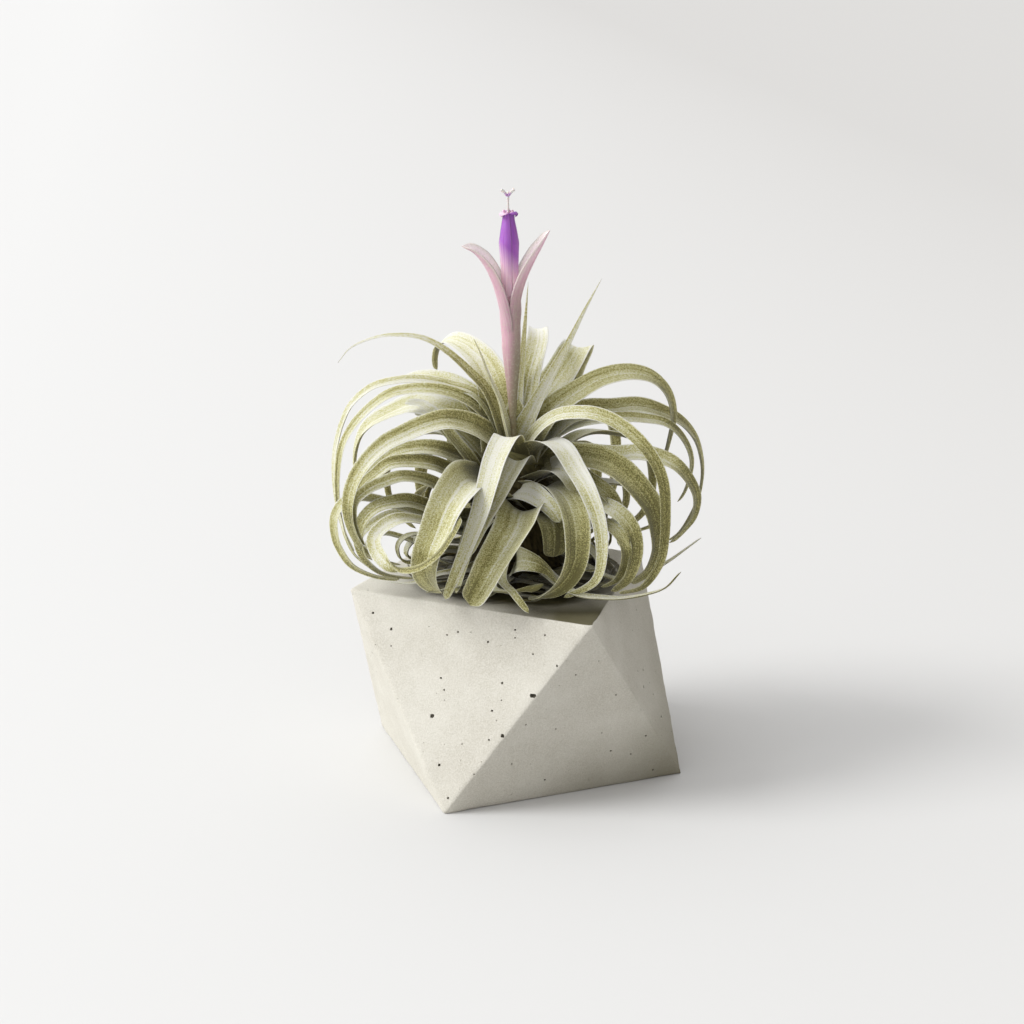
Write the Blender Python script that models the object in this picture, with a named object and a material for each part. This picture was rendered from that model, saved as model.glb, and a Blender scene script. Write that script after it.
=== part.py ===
"""A curly-leaved air plant in bloom, seated in a faceted concrete pot.

The origin is the middle of the pot's underside, +Z is up and -Y is the plant's front.
Named sizes are in millimetres and degrees, and MM turns a length into Blender's metres.
"""

import math

import bmesh
import bpy
import numpy as np

MM = 0.001
SEAT_GAP = 0.3  # clearance between a piece and the one that holds it

# Pot: four corners above, four below, each as (distance from the middle, heading)
POT_HEIGHT = 80.0
POT_BASE_CORNERS = ((74.8, 243.1), (69.4, 337.8), (74.8, 63.1), (69.4, 157.8))
POT_TOP_CORNERS = ((76.1, 196.3), (69.7, 290.8), (56.4, 29.4), (68.5, 119.9))
POT_EDGE_RADIUS = 1.3
WELL_RADIUS = 20.0
WELL_DEPTH = 28.0

# Plant: the stem stands in the pot's well, a little left of the pot's middle
STEM_X = -6.0
STEM_FOOT = POT_HEIGHT - WELL_DEPTH + SEAT_GAP
CROWN_HEIGHT = 142.0  # where the youngest leaves part
SCAPE_FOOT = 138.0
SCAPE_LEAN = -1.3

# Leaf blade
RING_STEP = 7.5  # spacing of the rings along a blade
HIDDEN_STEP = 11.0  # the same along a leaf that others hide
BLADE_THICKNESS = 1.4
BRACT_EDGE = 0.2  # how far a bract's edges stand up, as a share of its width
THINNEST_TIP = 0.09  # least width of a tip, as a share of the blade's width

# Visible leaves: width, height of the raised edges as a share of it, roll at the root and at the tip, the
# tip's width as a share, and the way from root to tip
UPRIGHT_LEAVES = (
    (8, 0.2, 50, 50, 0.03,
     ((-6, 0, 134), (4, 2, 154), (10, 4, 165), (16, 6, 176), (23, 8, 190), (30, 10, 203))),
    (7, 0.2, 30, 30, 0.03,
     ((-6, 3, 134), (-4, 6, 157), (-2, 7, 176), (0, 8, 202))),
    (8, 0.2, -40, -40, 0.03,
     ((-7, -2, 134), (-10, -4, 147), (-12, -6, 156), (-16, -7, 166), (-19, -8, 175), (-22, -8, 182))),
    (12, 0.2, 0, 0, 0.3,
     ((-5, 2, 134), (0, 8, 161), (4, 16, 175), (4, 26, 178), (4, 40, 173), (4, 55, 159), (3, 60, 144))),
    (18, 0.2, 5, 5, 0.4,
     ((-6, 0, 128), (4, 8, 148), (13, 17, 159), (20, 25, 169), (21, 33, 168), (19, 42, 159),
      (17, 50, 146))),
    (19, 0.2, -20, -30, 0.2,
     ((-8, 0, 134), (-13, 8, 155), (-18, 18, 165), (-25, 28, 170), (-32, 38, 171), (-37, 46, 167),
      (-39, 50, 161), (-39, 52, 155))),
    (15, 0.2, -35, -30, 0.12,
     ((-8, 1, 134), (-20, 8, 150), (-30, 16, 157), (-41, 24, 159), (-49, 30, 157.5), (-57, 35, 153))),
    (15, 0.2, -40, -30, 0.35,
     ((-8, 1, 128), (-20, 4, 139), (-29, 6, 145), (-36, 9, 147.5), (-42, 14, 148), (-48, 20, 147),
      (-54, 25, 144), (-59, 28, 141), (-64, 30, 138), (-68, 31, 134.5), (-71, 31, 130), (-73, 30, 122),
      (-73, 28, 112))),
)
RIGHT_LEAVES = (
    (12, 0.2, 45, 30, 0.32,
     ((-4, 1, 130), (9, 3, 148), (24, 7, 158), (33, 8, 162), (42, 10, 163), (50, 12, 161),
      (56, 13, 156), (59, 14, 150), (60, 14, 143), (59, 14, 136), (57, 14, 127), (53, 12, 118))),
    (13, 0.2, 40, 20, 0.25,
     ((-4, 1, 128), (13, 6, 144), (25, 10, 147), (35, 13, 147), (46, 17, 147), (55, 20, 144),
      (64, 23, 139), (70, 25, 132), (73, 26, 124), (74, 26, 116), (73, 26, 107), (70, 25, 99),
      (65, 23, 91), (60, 22, 87))),
    (8, 0.2, 35, 30, 0.35,
     ((-3, 0, 132), (19, 4, 143), (38, 6, 145), (49, 8, 144), (57, 9, 142), (63, 10, 137),
      (67, 10, 130), (68, 10, 123), (66, 10, 114), (63, 10, 108))),
    (12, 0.2, 35, 30, 0.3,
     ((-3, 0, 123), (19, -1, 130), (35, -2, 131), (46, -3, 132), (55, -3, 130), (61, -4, 127),
      (66, -4, 121), (69, -4, 114), (68, -4, 106), (64, -4, 100), (59, -3, 94))),
    (7.5, 0.2, 45, 55, 0.3,
     ((-5, -1, 124), (2, -5, 140), (11, -11, 150), (22, -16, 153), (31, -19, 152), (39, -22, 148),
      (46, -25, 142), (51, -26, 135), (54, -27, 127), (55, -27, 118), (55, -28, 105), (53, -32, 95),
      (46, -40, 88), (36, -46, 87))),
    (16, 0.2, 40, 30, 0.3,
     ((-4, -1, 120), (9, -4, 129), (21, -6, 131), (29, -9, 131), (37, -13, 128), (44, -17, 122),
      (50, -20, 114), (52, -23, 106), (52, -25, 98), (48, -29, 91), (41, -33, 87))),
    (12, 0.2, 35, 25, 0.3,
     ((-3, -2, 118), (13, -8, 127), (25, -13, 123), (33, -17, 118), (37, -20, 109), (37, -22, 99))),
    (11, 0.2, 30, 25, 0.3,
     ((-2, -3, 106), (15, -12, 114), (27, -18, 115), (35, -24, 114), (41, -29, 109), (43, -33, 102),
      (42, -37, 96), (39, -41, 91), (33, -44, 87))),
    (9, 0.2, 20, 20, 0.3,
     ((-2, -4, 96), (27, -20, 107), (35, -28, 107), (39, -36, 101), (36, -40, 92), (29, -42, 88))),
    (7, 0.2, 0, 0, 0.15,
     ((-4, -2, 98), (19, -14, 90), (33, -25, 86), (45, -20, 84), (58, -5, 86), (66, 3, 89),
      (73, 7, 93))),
)
LEFT_LEAVES = (
    (7, 0.2, -45, -45, 0.03,
     ((-8, 0, 134), (-16, 1, 156), (-24, 1, 166), (-34, 2, 175), (-44, 3, 180), (-56, 3, 181),
      (-65, 4, 179), (-73, 5, 175), (-78, 5, 169))),
    (5.5, 0.2, -35, -35, 0.3,
     ((-8, 0, 134), (-20, 3, 154), (-32, 6, 159), (-45, 8, 161), (-56, 9, 160), (-65, 10, 157),
      (-73, 10, 150), (-77, 9, 142), (-79, 7, 135), (-80, 4, 129), (-80, 0, 121), (-79, -4, 113),
      (-77, -9, 107), (-75, -14, 101), (-71, -18, 94), (-64, -22, 89))),
    (7, 0.2, -40, -40, 0.25,
     ((-8, 0, 132), (-19, 1, 149), (-29, 1, 156), (-41, 0, 159), (-54, -1, 158), (-63, -2, 153),
      (-71, -3, 145), (-76, -4, 136), (-78, -5, 125), (-78, -6, 112), (-76, -7, 101), (-72, -8, 92))),
    (12.5, 0.2, -45, -35, 0.15,
     ((-8, -2, 132), (-20, -7, 143), (-27, -10, 147), (-34, -14, 149), (-42, -18, 148),
      (-51, -22, 145), (-58, -25, 142), (-65, -29, 136), (-70, -31, 128), (-72, -33, 119),
      (-71, -32, 110), (-67, -30, 101), (-60, -27, 95), (-52, -23, 91))),
    (7, 0.2, -30, -30, 0.4,
     ((-9, -2, 114), (-20, -8, 125), (-25, -8, 133), (-31, -5, 140), (-38, 0, 148), (-44, 6, 151),
      (-51, 14, 150))),
    (5.5, 0.2, -30, -30, 0.5,
     ((-9, -1, 112), (-18, -2, 121), (-23, -2, 128), (-29, -1, 135), (-35, 2, 141), (-40, 6, 145),
      (-47, 12, 146))),
    (11, 0.2, -40, -30, 0.25,
     ((-8, -1, 124), (-24, -4, 129), (-30, -5, 132), (-37, -7, 135), (-44, -8, 136), (-52, -10, 135),
      (-58, -11, 132), (-64, -12, 127), (-68, -13, 122), (-71, -14, 116), (-71, -15, 108))),
    (11, 0.2, -40, -30, 0.25,
     ((-8, -2, 116), (-24, -7, 122), (-32, -9, 126), (-39, -12, 130), (-48, -15, 132), (-56, -18, 132),
      (-62, -20, 128), (-67, -22, 124), (-70, -23, 118), (-71, -24, 111), (-69, -23, 104))),
    (10, 0.2, -40, -30, 0.25,
     ((-8, -2, 110), (-26, -10, 116), (-34, -14, 120), (-42, -18, 125), (-51, -23, 128),
      (-58, -27, 127), (-64, -30, 125), (-69, -32, 121), (-70, -33, 116), (-69, -32, 109),
      (-66, -31, 102))),
    (11, 0.2, -40, -30, 0.2,
     ((-8, -1, 101), (-30, -8, 106), (-40, -14, 112), (-48, -18, 116), (-54, -22, 117),
      (-61, -25, 116), (-66, -27, 112), (-68, -28, 107), (-68, -29, 101), (-65, -30, 95),
      (-58, -31, 90), (-46, -31, 88))),
    (6, 0.2, -35, -30, 0.6,
     ((-8, -2, 98), (-36, -12, 107), (-52, -18, 114), (-66, -22, 119), (-74, -24, 118),
      (-78, -24, 112), (-78, -25, 105), (-76, -26, 99), (-71, -29, 93), (-62, -33, 90), (-52, -35, 89))),
    (9, 0.2, -35, -30, 0.25,
     ((-8, -1, 96), (-32, -8, 102), (-43, -11, 106), (-52, -13, 109), (-58, -15, 109), (-64, -17, 106),
      (-68, -18, 102), (-68, -18, 97), (-64, -17, 91))),
    (8, 0.2, -30, -20, 0.45,
     ((-8, -2, 96), (-30, -14, 103), (-44, -28, 111), (-52, -36, 114), (-58, -40, 112),
      (-61, -44, 109), (-60, -48, 105), (-56, -53, 102), (-50, -57, 101), (-43, -60, 103),
      (-36, -60, 108), (-31, -57, 114), (-27, -51, 120))),
    (7, 0.2, -20, -20, 0.1,
     ((-8, -4, 90), (-24, -20, 88), (-36, -32, 90), (-46, -40, 89), (-55, -42, 90))),
    (6, 0.2, -20, -20, 0.4,
     ((-8, -2, 90), (-30, -8, 92), (-43, -10, 95), (-51, -13, 99), (-59, -16, 102), (-64, -20, 101),
      (-66, -24, 97))),
    (6, 0.15, 0, 0, 0.5,
     ((-8, -2, 94), (-34, -14, 98), (-42, -18, 102), (-49, -19, 102), (-53, -19, 98))),
)
FRONT_LEAVES = (
    (15.5, 0.14, -12, -5, 0.2,
     ((-6, -1, 112), (-6, -5, 128), (-7.5, -10, 139), (-9, -16, 142), (-13, -24, 136), (-16, -33, 128),
      (-19, -41, 119), (-23, -49, 110), (-28, -54, 99), (-33, -54, 87))),
    (20, 0.25, -40, 5, 0.35,
     ((-9, -4, 112), (-19, -16, 123), (-25, -26, 127), (-29, -36, 125), (-33, -45, 120),
      (-36, -51, 113), (-39, -55, 106), (-40, -54, 98), (-37, -48, 90), (-32, -43, 86))),
    (21, 0.32, 0, 0, 0.4,
     ((-5, -3, 100), (-3, -14, 109), (-2, -22, 113), (-3, -28, 113), (-5, -34, 109), (-9, -41, 104),
      (-14, -48, 98), (-18, -53, 92), (-23, -56, 85))),
    (14, 0.13, -20, 60, 0.14,
     ((-4, -2, 118), (1, -6, 133), (6, -10, 139), (13, -18, 139), (19, -27, 132), (24, -36, 125),
      (28, -43, 115), (29, -48, 103), (26, -50, 93), (14, -49, 86))),
    (17, 0.2, -5, 0, 0.3,
     ((-4, -3, 110), (3.5, -11, 119), (11, -19, 121.5), (15.5, -26, 119), (18, -33, 114),
      (18.8, -40, 107.5), (18, -46, 99.5), (14, -49.5, 93), (7, -50, 88), (0, -46, 85))),
    (14, 0.12, 20, 55, 0.3,
     ((-6, -4, 108), (-6, -12, 117), (-3, -18, 120.5), (1, -23, 121.5), (5.5, -27, 120),
      (9.5, -30, 117), (13, -32, 112))),
    (16, 0.3, 15, 15, 0.5,
     ((-4, -2, 114), (7, -9, 125), (12, -15, 128.5), (16, -20, 127), (19, -23, 122))),
    (15, 0.28, 0, -10, 0.15,
     ((-5, -3, 118), (-5, -9, 128), (-5, -14, 132), (-6, -20, 131.5), (-9, -26, 127.5),
      (-13, -33, 121), (-18, -40, 113), (-23, -47, 103))),
    (22, 0.15, 55, 75, 0.1,
     ((-6, -6, 84), (-5, -22, 91), (-2, -33, 96), (3, -39, 97), (8, -42, 95), (12, -45, 90))),
    (18, 0.1, 0, 0, 0.5,
     ((-4, -4, 100), (3, -16, 110), (8, -24, 112), (10, -29, 109), (10.5, -31, 104), (10, -31, 97))),
    (13, 0.2, -10, 0, 0.2,
     ((-10, -3, 104), (-18, -14, 107), (-24, -22, 99), (-27, -30, 91), (-29, -38, 84))),
    (8, 0.2, 0, 0, 0.2,
     ((-5, -8, 94), (12, -40, 88), (20, -50, 87), (27, -50, 86), (37, -48, 85), (47, -46, 86),
      (55, -43, 88), (61, -41, 94))),
    (6, 0.2, 0, 0, 0.35,
     ((-8, -6, 92), (-15, -40, 88), (-9, -49, 88), (-1, -52, 90), (6, -50, 92))),
    (7, 0.2, 0, 0, 0.3,
     ((-8, -6, 96), (-11, -42, 92), (-6, -54, 89), (0, -59, 83))),
    (6, 0.2, 0, 0, 0.1,
     ((-8, -4, 90), (-20, -24, 87), (-27, -34, 86), (-33, -42, 87), (-41, -46, 87))),
    (6, 0.2, 0, 0, 0.1,
     ((-3, -4, 92), (8, -28, 86), (18, -38, 84), (25, -42, 84))),
)

# Leaves that the front hides: hoops round the stem, behind and inside the visible ones
HOOP_SEED = 7
BACK_HOOPS = 15
INNER_HOOPS = 15

# Flower, measured from the scape's foot: (radius, height)
SCAPE_PROFILE = ((1.3, 0.0), (1.4, 10.0), (2.2, 21.0), (3.0, 29.0), (3.5, 34.0), (3.8, 41.0), (4.1, 48.0),
                 (4.6, 56.0), (4.9, 63.0))
COROLLA_PROFILE = ((3.2, 57.0), (3.5, 66.0), (3.7, 74.0), (3.95, 81.0), (3.5, 87.0), (2.7, 91.8))
BRACT_WIDTH = 9.5
LEFT_BRACT = ((-2.6, -1.2, 42), (-4.6, -2.0, 56), (-6.9, -2.4, 66), (-9.9, -2.5, 73), (-14.0, -2.5, 78.5),
              (-18.8, -2.5, 81))
RIGHT_BRACT = ((2.6, -1.2, 44), (4.2, -2.0, 57), (6.4, -2.4, 67), (9.6, -2.5, 74), (13.2, -2.5, 80.4),
               (16.4, -2.5, 86.6))
MOUTH_BORE = (2.2, 5.0)  # radius and depth of the tube's open mouth
COLUMN_RADIUS = 1.9
COLUMN_BORE = 0.9
ANTHER_COUNT = 6
ANTHER_SIZE = (1.5, 3.2)  # diameter and length
ANTHER_RING = 2.3
STYLE_RADIUS = 0.55
STYLE_TOP = 99.5
STIGMA_LOBES = 3
STIGMA_LENGTH = 4.4

CONCRETE = (0.72, 0.70, 0.64)
LEAF_GREEN = (0.45, 0.44, 0.28)
SCAPE_PINK = (0.66, 0.42, 0.52)
PETAL_PURPLE = (0.28, 0.10, 0.40)
ANTHER_PINK = (0.80, 0.62, 0.66)
STYLE_WHITE = (0.86, 0.82, 0.80)


def remove_everything():
    """Clears the scene of its objects."""
    for thing in list(bpy.data.objects):
        bpy.data.objects.remove(thing, do_unlink=True)


def plain_material(name, color, roughness):
    """A Principled material with one colour."""
    material = bpy.data.materials.new(name)
    material.use_nodes = True
    shader = material.node_tree.nodes["Principled BSDF"]
    shader.inputs["Base Color"].default_value = (*color, 1.0)
    shader.inputs["Roughness"].default_value = roughness
    return material


def add_object(name, vertices, faces, material=None):
    """A mesh object from vertices in millimetres, its faces turned outwards."""
    mesh = bpy.data.meshes.new(name)
    mesh.from_pydata([tuple(MM * float(c) for c in vertex) for vertex in vertices], [], faces)
    shell = bmesh.new()
    shell.from_mesh(mesh)
    bmesh.ops.recalc_face_normals(shell, faces=shell.faces)
    shell.to_mesh(mesh)
    shell.free()
    thing = bpy.data.objects.new(name, mesh)
    bpy.context.scene.collection.objects.link(thing)
    if material is not None:
        mesh.materials.append(material)
    return thing


def polar_corners(corners, height):
    """Points at (distance, heading) pairs, all at one height."""
    return [
        (radius * math.cos(math.radians(heading)), radius * math.sin(math.radians(heading)), height)
        for radius, heading in corners
    ]


def turned(name, profile, sides):
    """A solid turned about Z: a ring of vertices for each (radius, height), and a flat end at each end."""
    turns = [2 * math.pi * k / sides for k in range(sides)]
    vertices = [(r * math.cos(a), r * math.sin(a), z) for r, z in profile for a in turns]
    faces = [tuple(range(sides))[::-1], tuple(range(len(vertices) - sides, len(vertices)))]
    for ring in range(len(profile) - 1):
        low = ring * sides
        for k in range(sides):
            after = (k + 1) % sides
            faces.append((low + k, low + after, low + sides + after, low + sides + k))
    return add_object(name, vertices, faces)


def apply_boolean(target, other, operation, solver="EXACT"):
    """Joins or cuts target with other, an object or a collection, and removes other."""
    step = target.modifiers.new("boolean", "BOOLEAN")
    step.operation = operation
    step.solver = solver
    if isinstance(other, bpy.types.Collection):
        step.operand_type = "COLLECTION"
        step.collection = other
        used = list(other.objects)
    else:
        step.object = other
        used = [other]
    bpy.context.view_layer.update()
    evaluated = target.evaluated_get(bpy.context.evaluated_depsgraph_get())
    result = bpy.data.meshes.new_from_object(evaluated)
    target.modifiers.clear()
    target.data = result
    for thing in used:
        bpy.data.objects.remove(thing, do_unlink=True)
    if isinstance(other, bpy.types.Collection):
        bpy.data.collections.remove(other)


def keep_largest_shell(thing):
    """Drops loose scraps and sealed hollows, so that one closed shell is left."""
    shell = bmesh.new()
    shell.from_mesh(thing.data)
    seen = set()
    groups = []
    for start in shell.verts:
        if start in seen:
            continue
        seen.add(start)
        group = [start]
        for vertex in group:
            for edge in vertex.link_edges:
                nearby = edge.other_vert(vertex)
                if nearby not in seen:
                    seen.add(nearby)
                    group.append(nearby)
        groups.append(group)
    groups.sort(key=len)
    for group in groups[:-1]:
        bmesh.ops.delete(shell, geom=group, context="VERTS")
    shell.to_mesh(thing.data)
    shell.free()


def smooth_way(points, step):
    """The Catmull-Rom curve through the points, as points at even steps of its length."""
    way = np.asarray(points, float)
    padded = np.vstack([2 * way[0] - way[1], way, 2 * way[-1] - way[-2]])
    place = np.linspace(0, len(way) - 1, 40 * len(way))
    index = np.minimum(place.astype(int), len(way) - 2)
    f = (place - index)[:, None]
    a, b, c, d = padded[index], padded[index + 1], padded[index + 2], padded[index + 3]
    curve = 0.5 * (2 * b + (c - a) * f + (2 * a - 5 * b + 4 * c - d) * f**2 + (3 * b - a - 3 * c + d) * f**3)
    length = np.concatenate([[0], np.cumsum(np.linalg.norm(np.diff(curve, axis=0), axis=1))])
    even = np.linspace(0, length[-1], max(6, round(length[-1] / step)))
    return np.stack([np.interp(even, length, curve[:, axis]) for axis in range(3)], axis=1)


def leaf_taper(length, tip):
    """A leaf's width along its length, as a share of its width at the root."""
    end = max(tip, THINNEST_TIP)
    return end + (1 - end) * (1 - length / length[-1]) ** (1.2 - 1.5 * min(tip, 0.4))


def bract_taper(length, tip):
    """A bract's width along its length: widest a little above its root, pointed at its tip."""
    return tip + np.sin(np.pi * (0.16 + 0.84 * length / length[-1]) ** 0.8)


def unit(vectors):
    """Each row scaled to length one."""
    return vectors / np.linalg.norm(vectors, axis=1)[:, None]


def blade(name, row, taper=leaf_taper, axis_x=STEM_X, step=RING_STEP):
    """A channelled blade with a ring of four vertices at each step: left edge, crown, right edge, keel.

    The edges stand up from the crown towards the face that looks up at the top of the arch.
    """
    width, edge, first, last, tip, points = row
    way = smooth_way(points, step)
    length = np.concatenate([[0], np.cumsum(np.linalg.norm(np.diff(way, axis=0), axis=1))])
    t = length / length[-1]
    along = unit(np.gradient(way, axis=0))
    reach = way[:, :2] - (axis_x, 0)
    far = reach[np.argmax(np.linalg.norm(reach, axis=1))]
    heading = math.atan2(far[1], far[0])
    across = np.array([-math.sin(heading), math.cos(heading), 0]) * np.ones((len(way), 1))
    across = unit(across - (across * along).sum(axis=1)[:, None] * along)
    face = np.cross(along, across)
    roll = np.radians(first + (last - first) * t)[:, None]
    across, face = across * np.cos(roll) + face * np.sin(roll), face * np.cos(roll) - across * np.sin(roll)
    half = (width * taper(length, tip) / 2)[:, None]
    thick = (BLADE_THICKNESS * np.clip(0.45 + 0.8 * (1 - t), 0, 1))[:, None]
    rim = 2 * edge * half
    rings = np.stack([way - across * half + face * rim, way + face * thick / 2,
                      way + across * half + face * rim, way - face * thick / 2], axis=1)
    faces = [(0, 3, 2), (0, 2, 1)]
    for ring in range(len(way) - 1):
        low = 4 * ring
        left, crown, right, keel = low, low + 1, low + 2, low + 3
        faces += [(left, crown, left + 4), (crown, crown + 4, left + 4)]
        faces += [(crown, right, crown + 4), (right, right + 4, crown + 4)]
        faces += [(keel, left, left + 4), (keel, left + 4, keel + 4)]
        faces += [(right, keel, right + 4), (keel, keel + 4, right + 4)]
    last = 4 * (len(way) - 1)
    faces += [(last, last + 1, last + 2), (last, last + 2, last + 3)]
    return add_object(name, rings.reshape(-1, 3), faces)


def hoop_way(heading, root, reach, rise):
    """An arching leaf in a vertical plane: up and out from the stem, over, and down to a curled tip."""
    drop = root - (POT_HEIGHT + 9)
    shape = ((0.0, -6), (0.42, rise), (0.72, 0.95 * rise), (0.94, 0.35 * rise), (1.0, -0.35 * drop),
             (0.95, -0.75 * drop), (0.78, -drop))
    turn = math.radians(heading)
    return [(STEM_X + share * reach * math.cos(turn), share * reach * math.sin(turn), root + height)
            for share, height in shape]


def hidden_leaves():
    """Rows for the hoops behind the stem and for the shorter ones inside, spread by a seeded rule."""
    chance = np.random.default_rng(HOOP_SEED)
    rows = []
    for k in range(BACK_HOOPS):
        heading = 28 + 112 * (k + chance.uniform(-0.3, 0.3)) / (BACK_HOOPS - 1)
        root = 98 + 34 * ((k * 0.618) % 1)
        way = hoop_way(heading, root, chance.uniform(60, 74), chance.uniform(9, 15))
        width, first, last = chance.uniform(10, 13), chance.uniform(-15, 15), chance.uniform(-15, 15)
        rows.append((width, 0.2, first, last, 0.25, way))
    for k in range(INNER_HOOPS):
        heading = 325 + 250 * (k + chance.uniform(-0.2, 0.2)) / (INNER_HOOPS - 1)
        root = 94 + 22 * ((k * 0.618) % 1)
        way = hoop_way(heading, root, chance.uniform(34, 46), chance.uniform(5, 9))
        width, first, last = chance.uniform(9, 12), chance.uniform(-15, 15), chance.uniform(-15, 15)
        rows.append((width, 0.2, first, last, 0.25, way))
    return rows


def make_pot():
    """Cast concrete: a top turned against the base, eight triangles between them, and a round well."""
    base = polar_corners(POT_BASE_CORNERS, 0)
    top = polar_corners(POT_TOP_CORNERS, POT_HEIGHT)
    faces = [(3, 2, 1, 0), (4, 5, 6, 7)]
    for k in range(4):
        after = (k + 1) % 4
        faces += [(k, 4 + after, 4 + k), (k, after, 4 + after)]
    pot = add_object("pot", base + top, faces, plain_material("concrete", CONCRETE, 0.85))
    round_edges = pot.modifiers.new("round edges", "BEVEL")
    round_edges.width = MM * POT_EDGE_RADIUS
    round_edges.segments = 2
    round_edges.limit_method = "ANGLE"
    well = turned("well", ((WELL_RADIUS, POT_HEIGHT - WELL_DEPTH), (WELL_RADIUS, POT_HEIGHT + 5)), 40)
    well.location.x = MM * STEM_X
    apply_boolean(pot, well, "DIFFERENCE")
    return pot


def make_rosette():
    """The short stem and every leaf, grown as one piece, with the hole that the scape rises from."""
    wall = WELL_RADIUS - SEAT_GAP
    stem = turned("leaf_rosette", (
        (wall - 3, STEM_FOOT), (wall, STEM_FOOT + 6), (wall, POT_HEIGHT + SEAT_GAP), (26.5, 81), (26, 86),
        (21, 93), (19, 106), (17, 119), (13, 135), (4, CROWN_HEIGHT)), 20)
    for vertex in stem.data.vertices:
        vertex.co.x += MM * STEM_X
    stem.data.materials.append(plain_material("frosted leaf", LEAF_GREEN, 0.7))
    leaves = bpy.data.collections.new("leaves")
    bpy.context.scene.collection.children.link(leaves)
    seen = [blade("leaf", row) for row in (*UPRIGHT_LEAVES, *RIGHT_LEAVES, *LEFT_LEAVES, *FRONT_LEAVES)]
    hidden = [blade("leaf", row, step=HIDDEN_STEP) for row in hidden_leaves()]
    for leaf in seen + hidden:
        bpy.context.scene.collection.objects.unlink(leaf)
        leaves.objects.link(leaf)
    apply_boolean(stem, leaves, "UNION", "MANIFOLD")
    return stem


def cut_scape_hole(rosette, axis):
    """Cuts the room that the scape needs out of the crown of leaves."""
    room = [(radius + SEAT_GAP, height) for radius, height in SCAPE_PROFILE]
    room[0] = (room[0][0], -SEAT_GAP)
    hole = turned("hole", room, 12)
    hole.matrix_world = axis
    apply_boolean(rosette, hole, "DIFFERENCE", "MANIFOLD")
    keep_largest_shell(rosette)


def make_scape():
    """The upright flower stalk, a slender cone that widens upwards, with its two outcurved bracts."""
    scape = turned("flower_scape", SCAPE_PROFILE, 14)
    scape.data.materials.append(plain_material("pink bract", SCAPE_PINK, 0.55))
    for points in (LEFT_BRACT, RIGHT_BRACT):
        bract = blade("bract", (BRACT_WIDTH, BRACT_EDGE, 0, 0, 0.06, points), bract_taper, 0.0, 4.0)
        apply_boolean(scape, bract, "UNION", "MANIFOLD")
    socket = [(radius + SEAT_GAP, height) for radius, height in COROLLA_PROFILE]
    socket[0] = (socket[0][0], socket[0][1] - SEAT_GAP)
    apply_boolean(scape, turned("socket", socket, 16), "DIFFERENCE", "MANIFOLD")
    keep_largest_shell(scape)
    return scape


def make_corolla():
    """The purple tube of rolled petals, open at its mouth."""
    corolla = turned("corolla", COROLLA_PROFILE, 16)
    corolla.data.materials.append(plain_material("purple petal", PETAL_PURPLE, 0.5))
    top = COROLLA_PROFILE[-1][1]
    radius, depth = MOUTH_BORE
    apply_boolean(corolla, turned("mouth", ((radius, top - depth), (radius, top + 2)), 16), "DIFFERENCE")
    return corolla


def make_stamens():
    """A short column in the tube's mouth with a ring of anthers round its head, bored for the style."""
    foot = COROLLA_PROFILE[-1][1] - MOUTH_BORE[1] + SEAT_GAP
    head = COROLLA_PROFILE[-1][1] + SEAT_GAP
    stamens = turned("stamens", ((COLUMN_RADIUS, foot), (COLUMN_RADIUS, head + 2.2)), 12)
    stamens.data.materials.append(plain_material("anther", ANTHER_PINK, 0.6))
    width, length = ANTHER_SIZE
    for k in range(ANTHER_COUNT):
        turn = 2 * math.pi * k / ANTHER_COUNT
        anther = turned("anther", ((0.2 * width, 0), (0.5 * width, 0.3 * length),
                                   (0.5 * width, 0.7 * length), (0.2 * width, length)), 8)
        for vertex in anther.data.vertices:
            vertex.co.x += MM * ANTHER_RING * math.cos(turn)
            vertex.co.y += MM * ANTHER_RING * math.sin(turn)
            vertex.co.z += MM * head
        apply_boolean(stamens, anther, "UNION")
    bore = turned("bore", ((COLUMN_BORE, foot - 1), (COLUMN_BORE, head + 5)), 12)
    apply_boolean(stamens, bore, "DIFFERENCE")
    return stamens


def make_style():
    """The thin white style, standing in the column, with the three lobes of its stigma."""
    foot = COROLLA_PROFILE[-1][1] - MOUTH_BORE[1] + SEAT_GAP
    style = turned("style", ((STYLE_RADIUS, foot), (STYLE_RADIUS, STYLE_TOP)), 10)
    style.data.materials.append(plain_material("style", STYLE_WHITE, 0.5))
    for k in range(STIGMA_LOBES):
        turn = math.radians(180 + 360 * k / STIGMA_LOBES)
        lobe = turned("lobe", ((0.45, 0), (0.5, 0.5 * STIGMA_LENGTH), (0.3, STIGMA_LENGTH)), 8)
        lean = math.radians(38)
        for vertex in lobe.data.vertices:
            x, y, z = vertex.co
            out = x * math.cos(lean) + z * math.sin(lean)
            vertex.co.z = z * math.cos(lean) - x * math.sin(lean) + MM * (STYLE_TOP - 0.6)
            vertex.co.x = out * math.cos(turn) - y * math.sin(turn)
            vertex.co.y = out * math.sin(turn) + y * math.cos(turn)
        apply_boolean(style, lobe, "UNION")
    return style


def flower_axis():
    """The line that the flower's pieces stand on, leaning a little to the left."""
    axis = bpy.data.objects.new("flower_axis", None)
    axis.location = (MM * STEM_X, 0, MM * SCAPE_FOOT)
    axis.rotation_euler.y = math.radians(SCAPE_LEAN)
    bpy.context.scene.collection.objects.link(axis)
    bpy.context.view_layer.update()
    return axis


def shade(thing, sharp_angle):
    """Smooth shading that keeps edges sharper than the angle."""
    thing.data.shade_smooth()
    thing.data.set_sharp_from_angle(angle=math.radians(sharp_angle))


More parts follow.
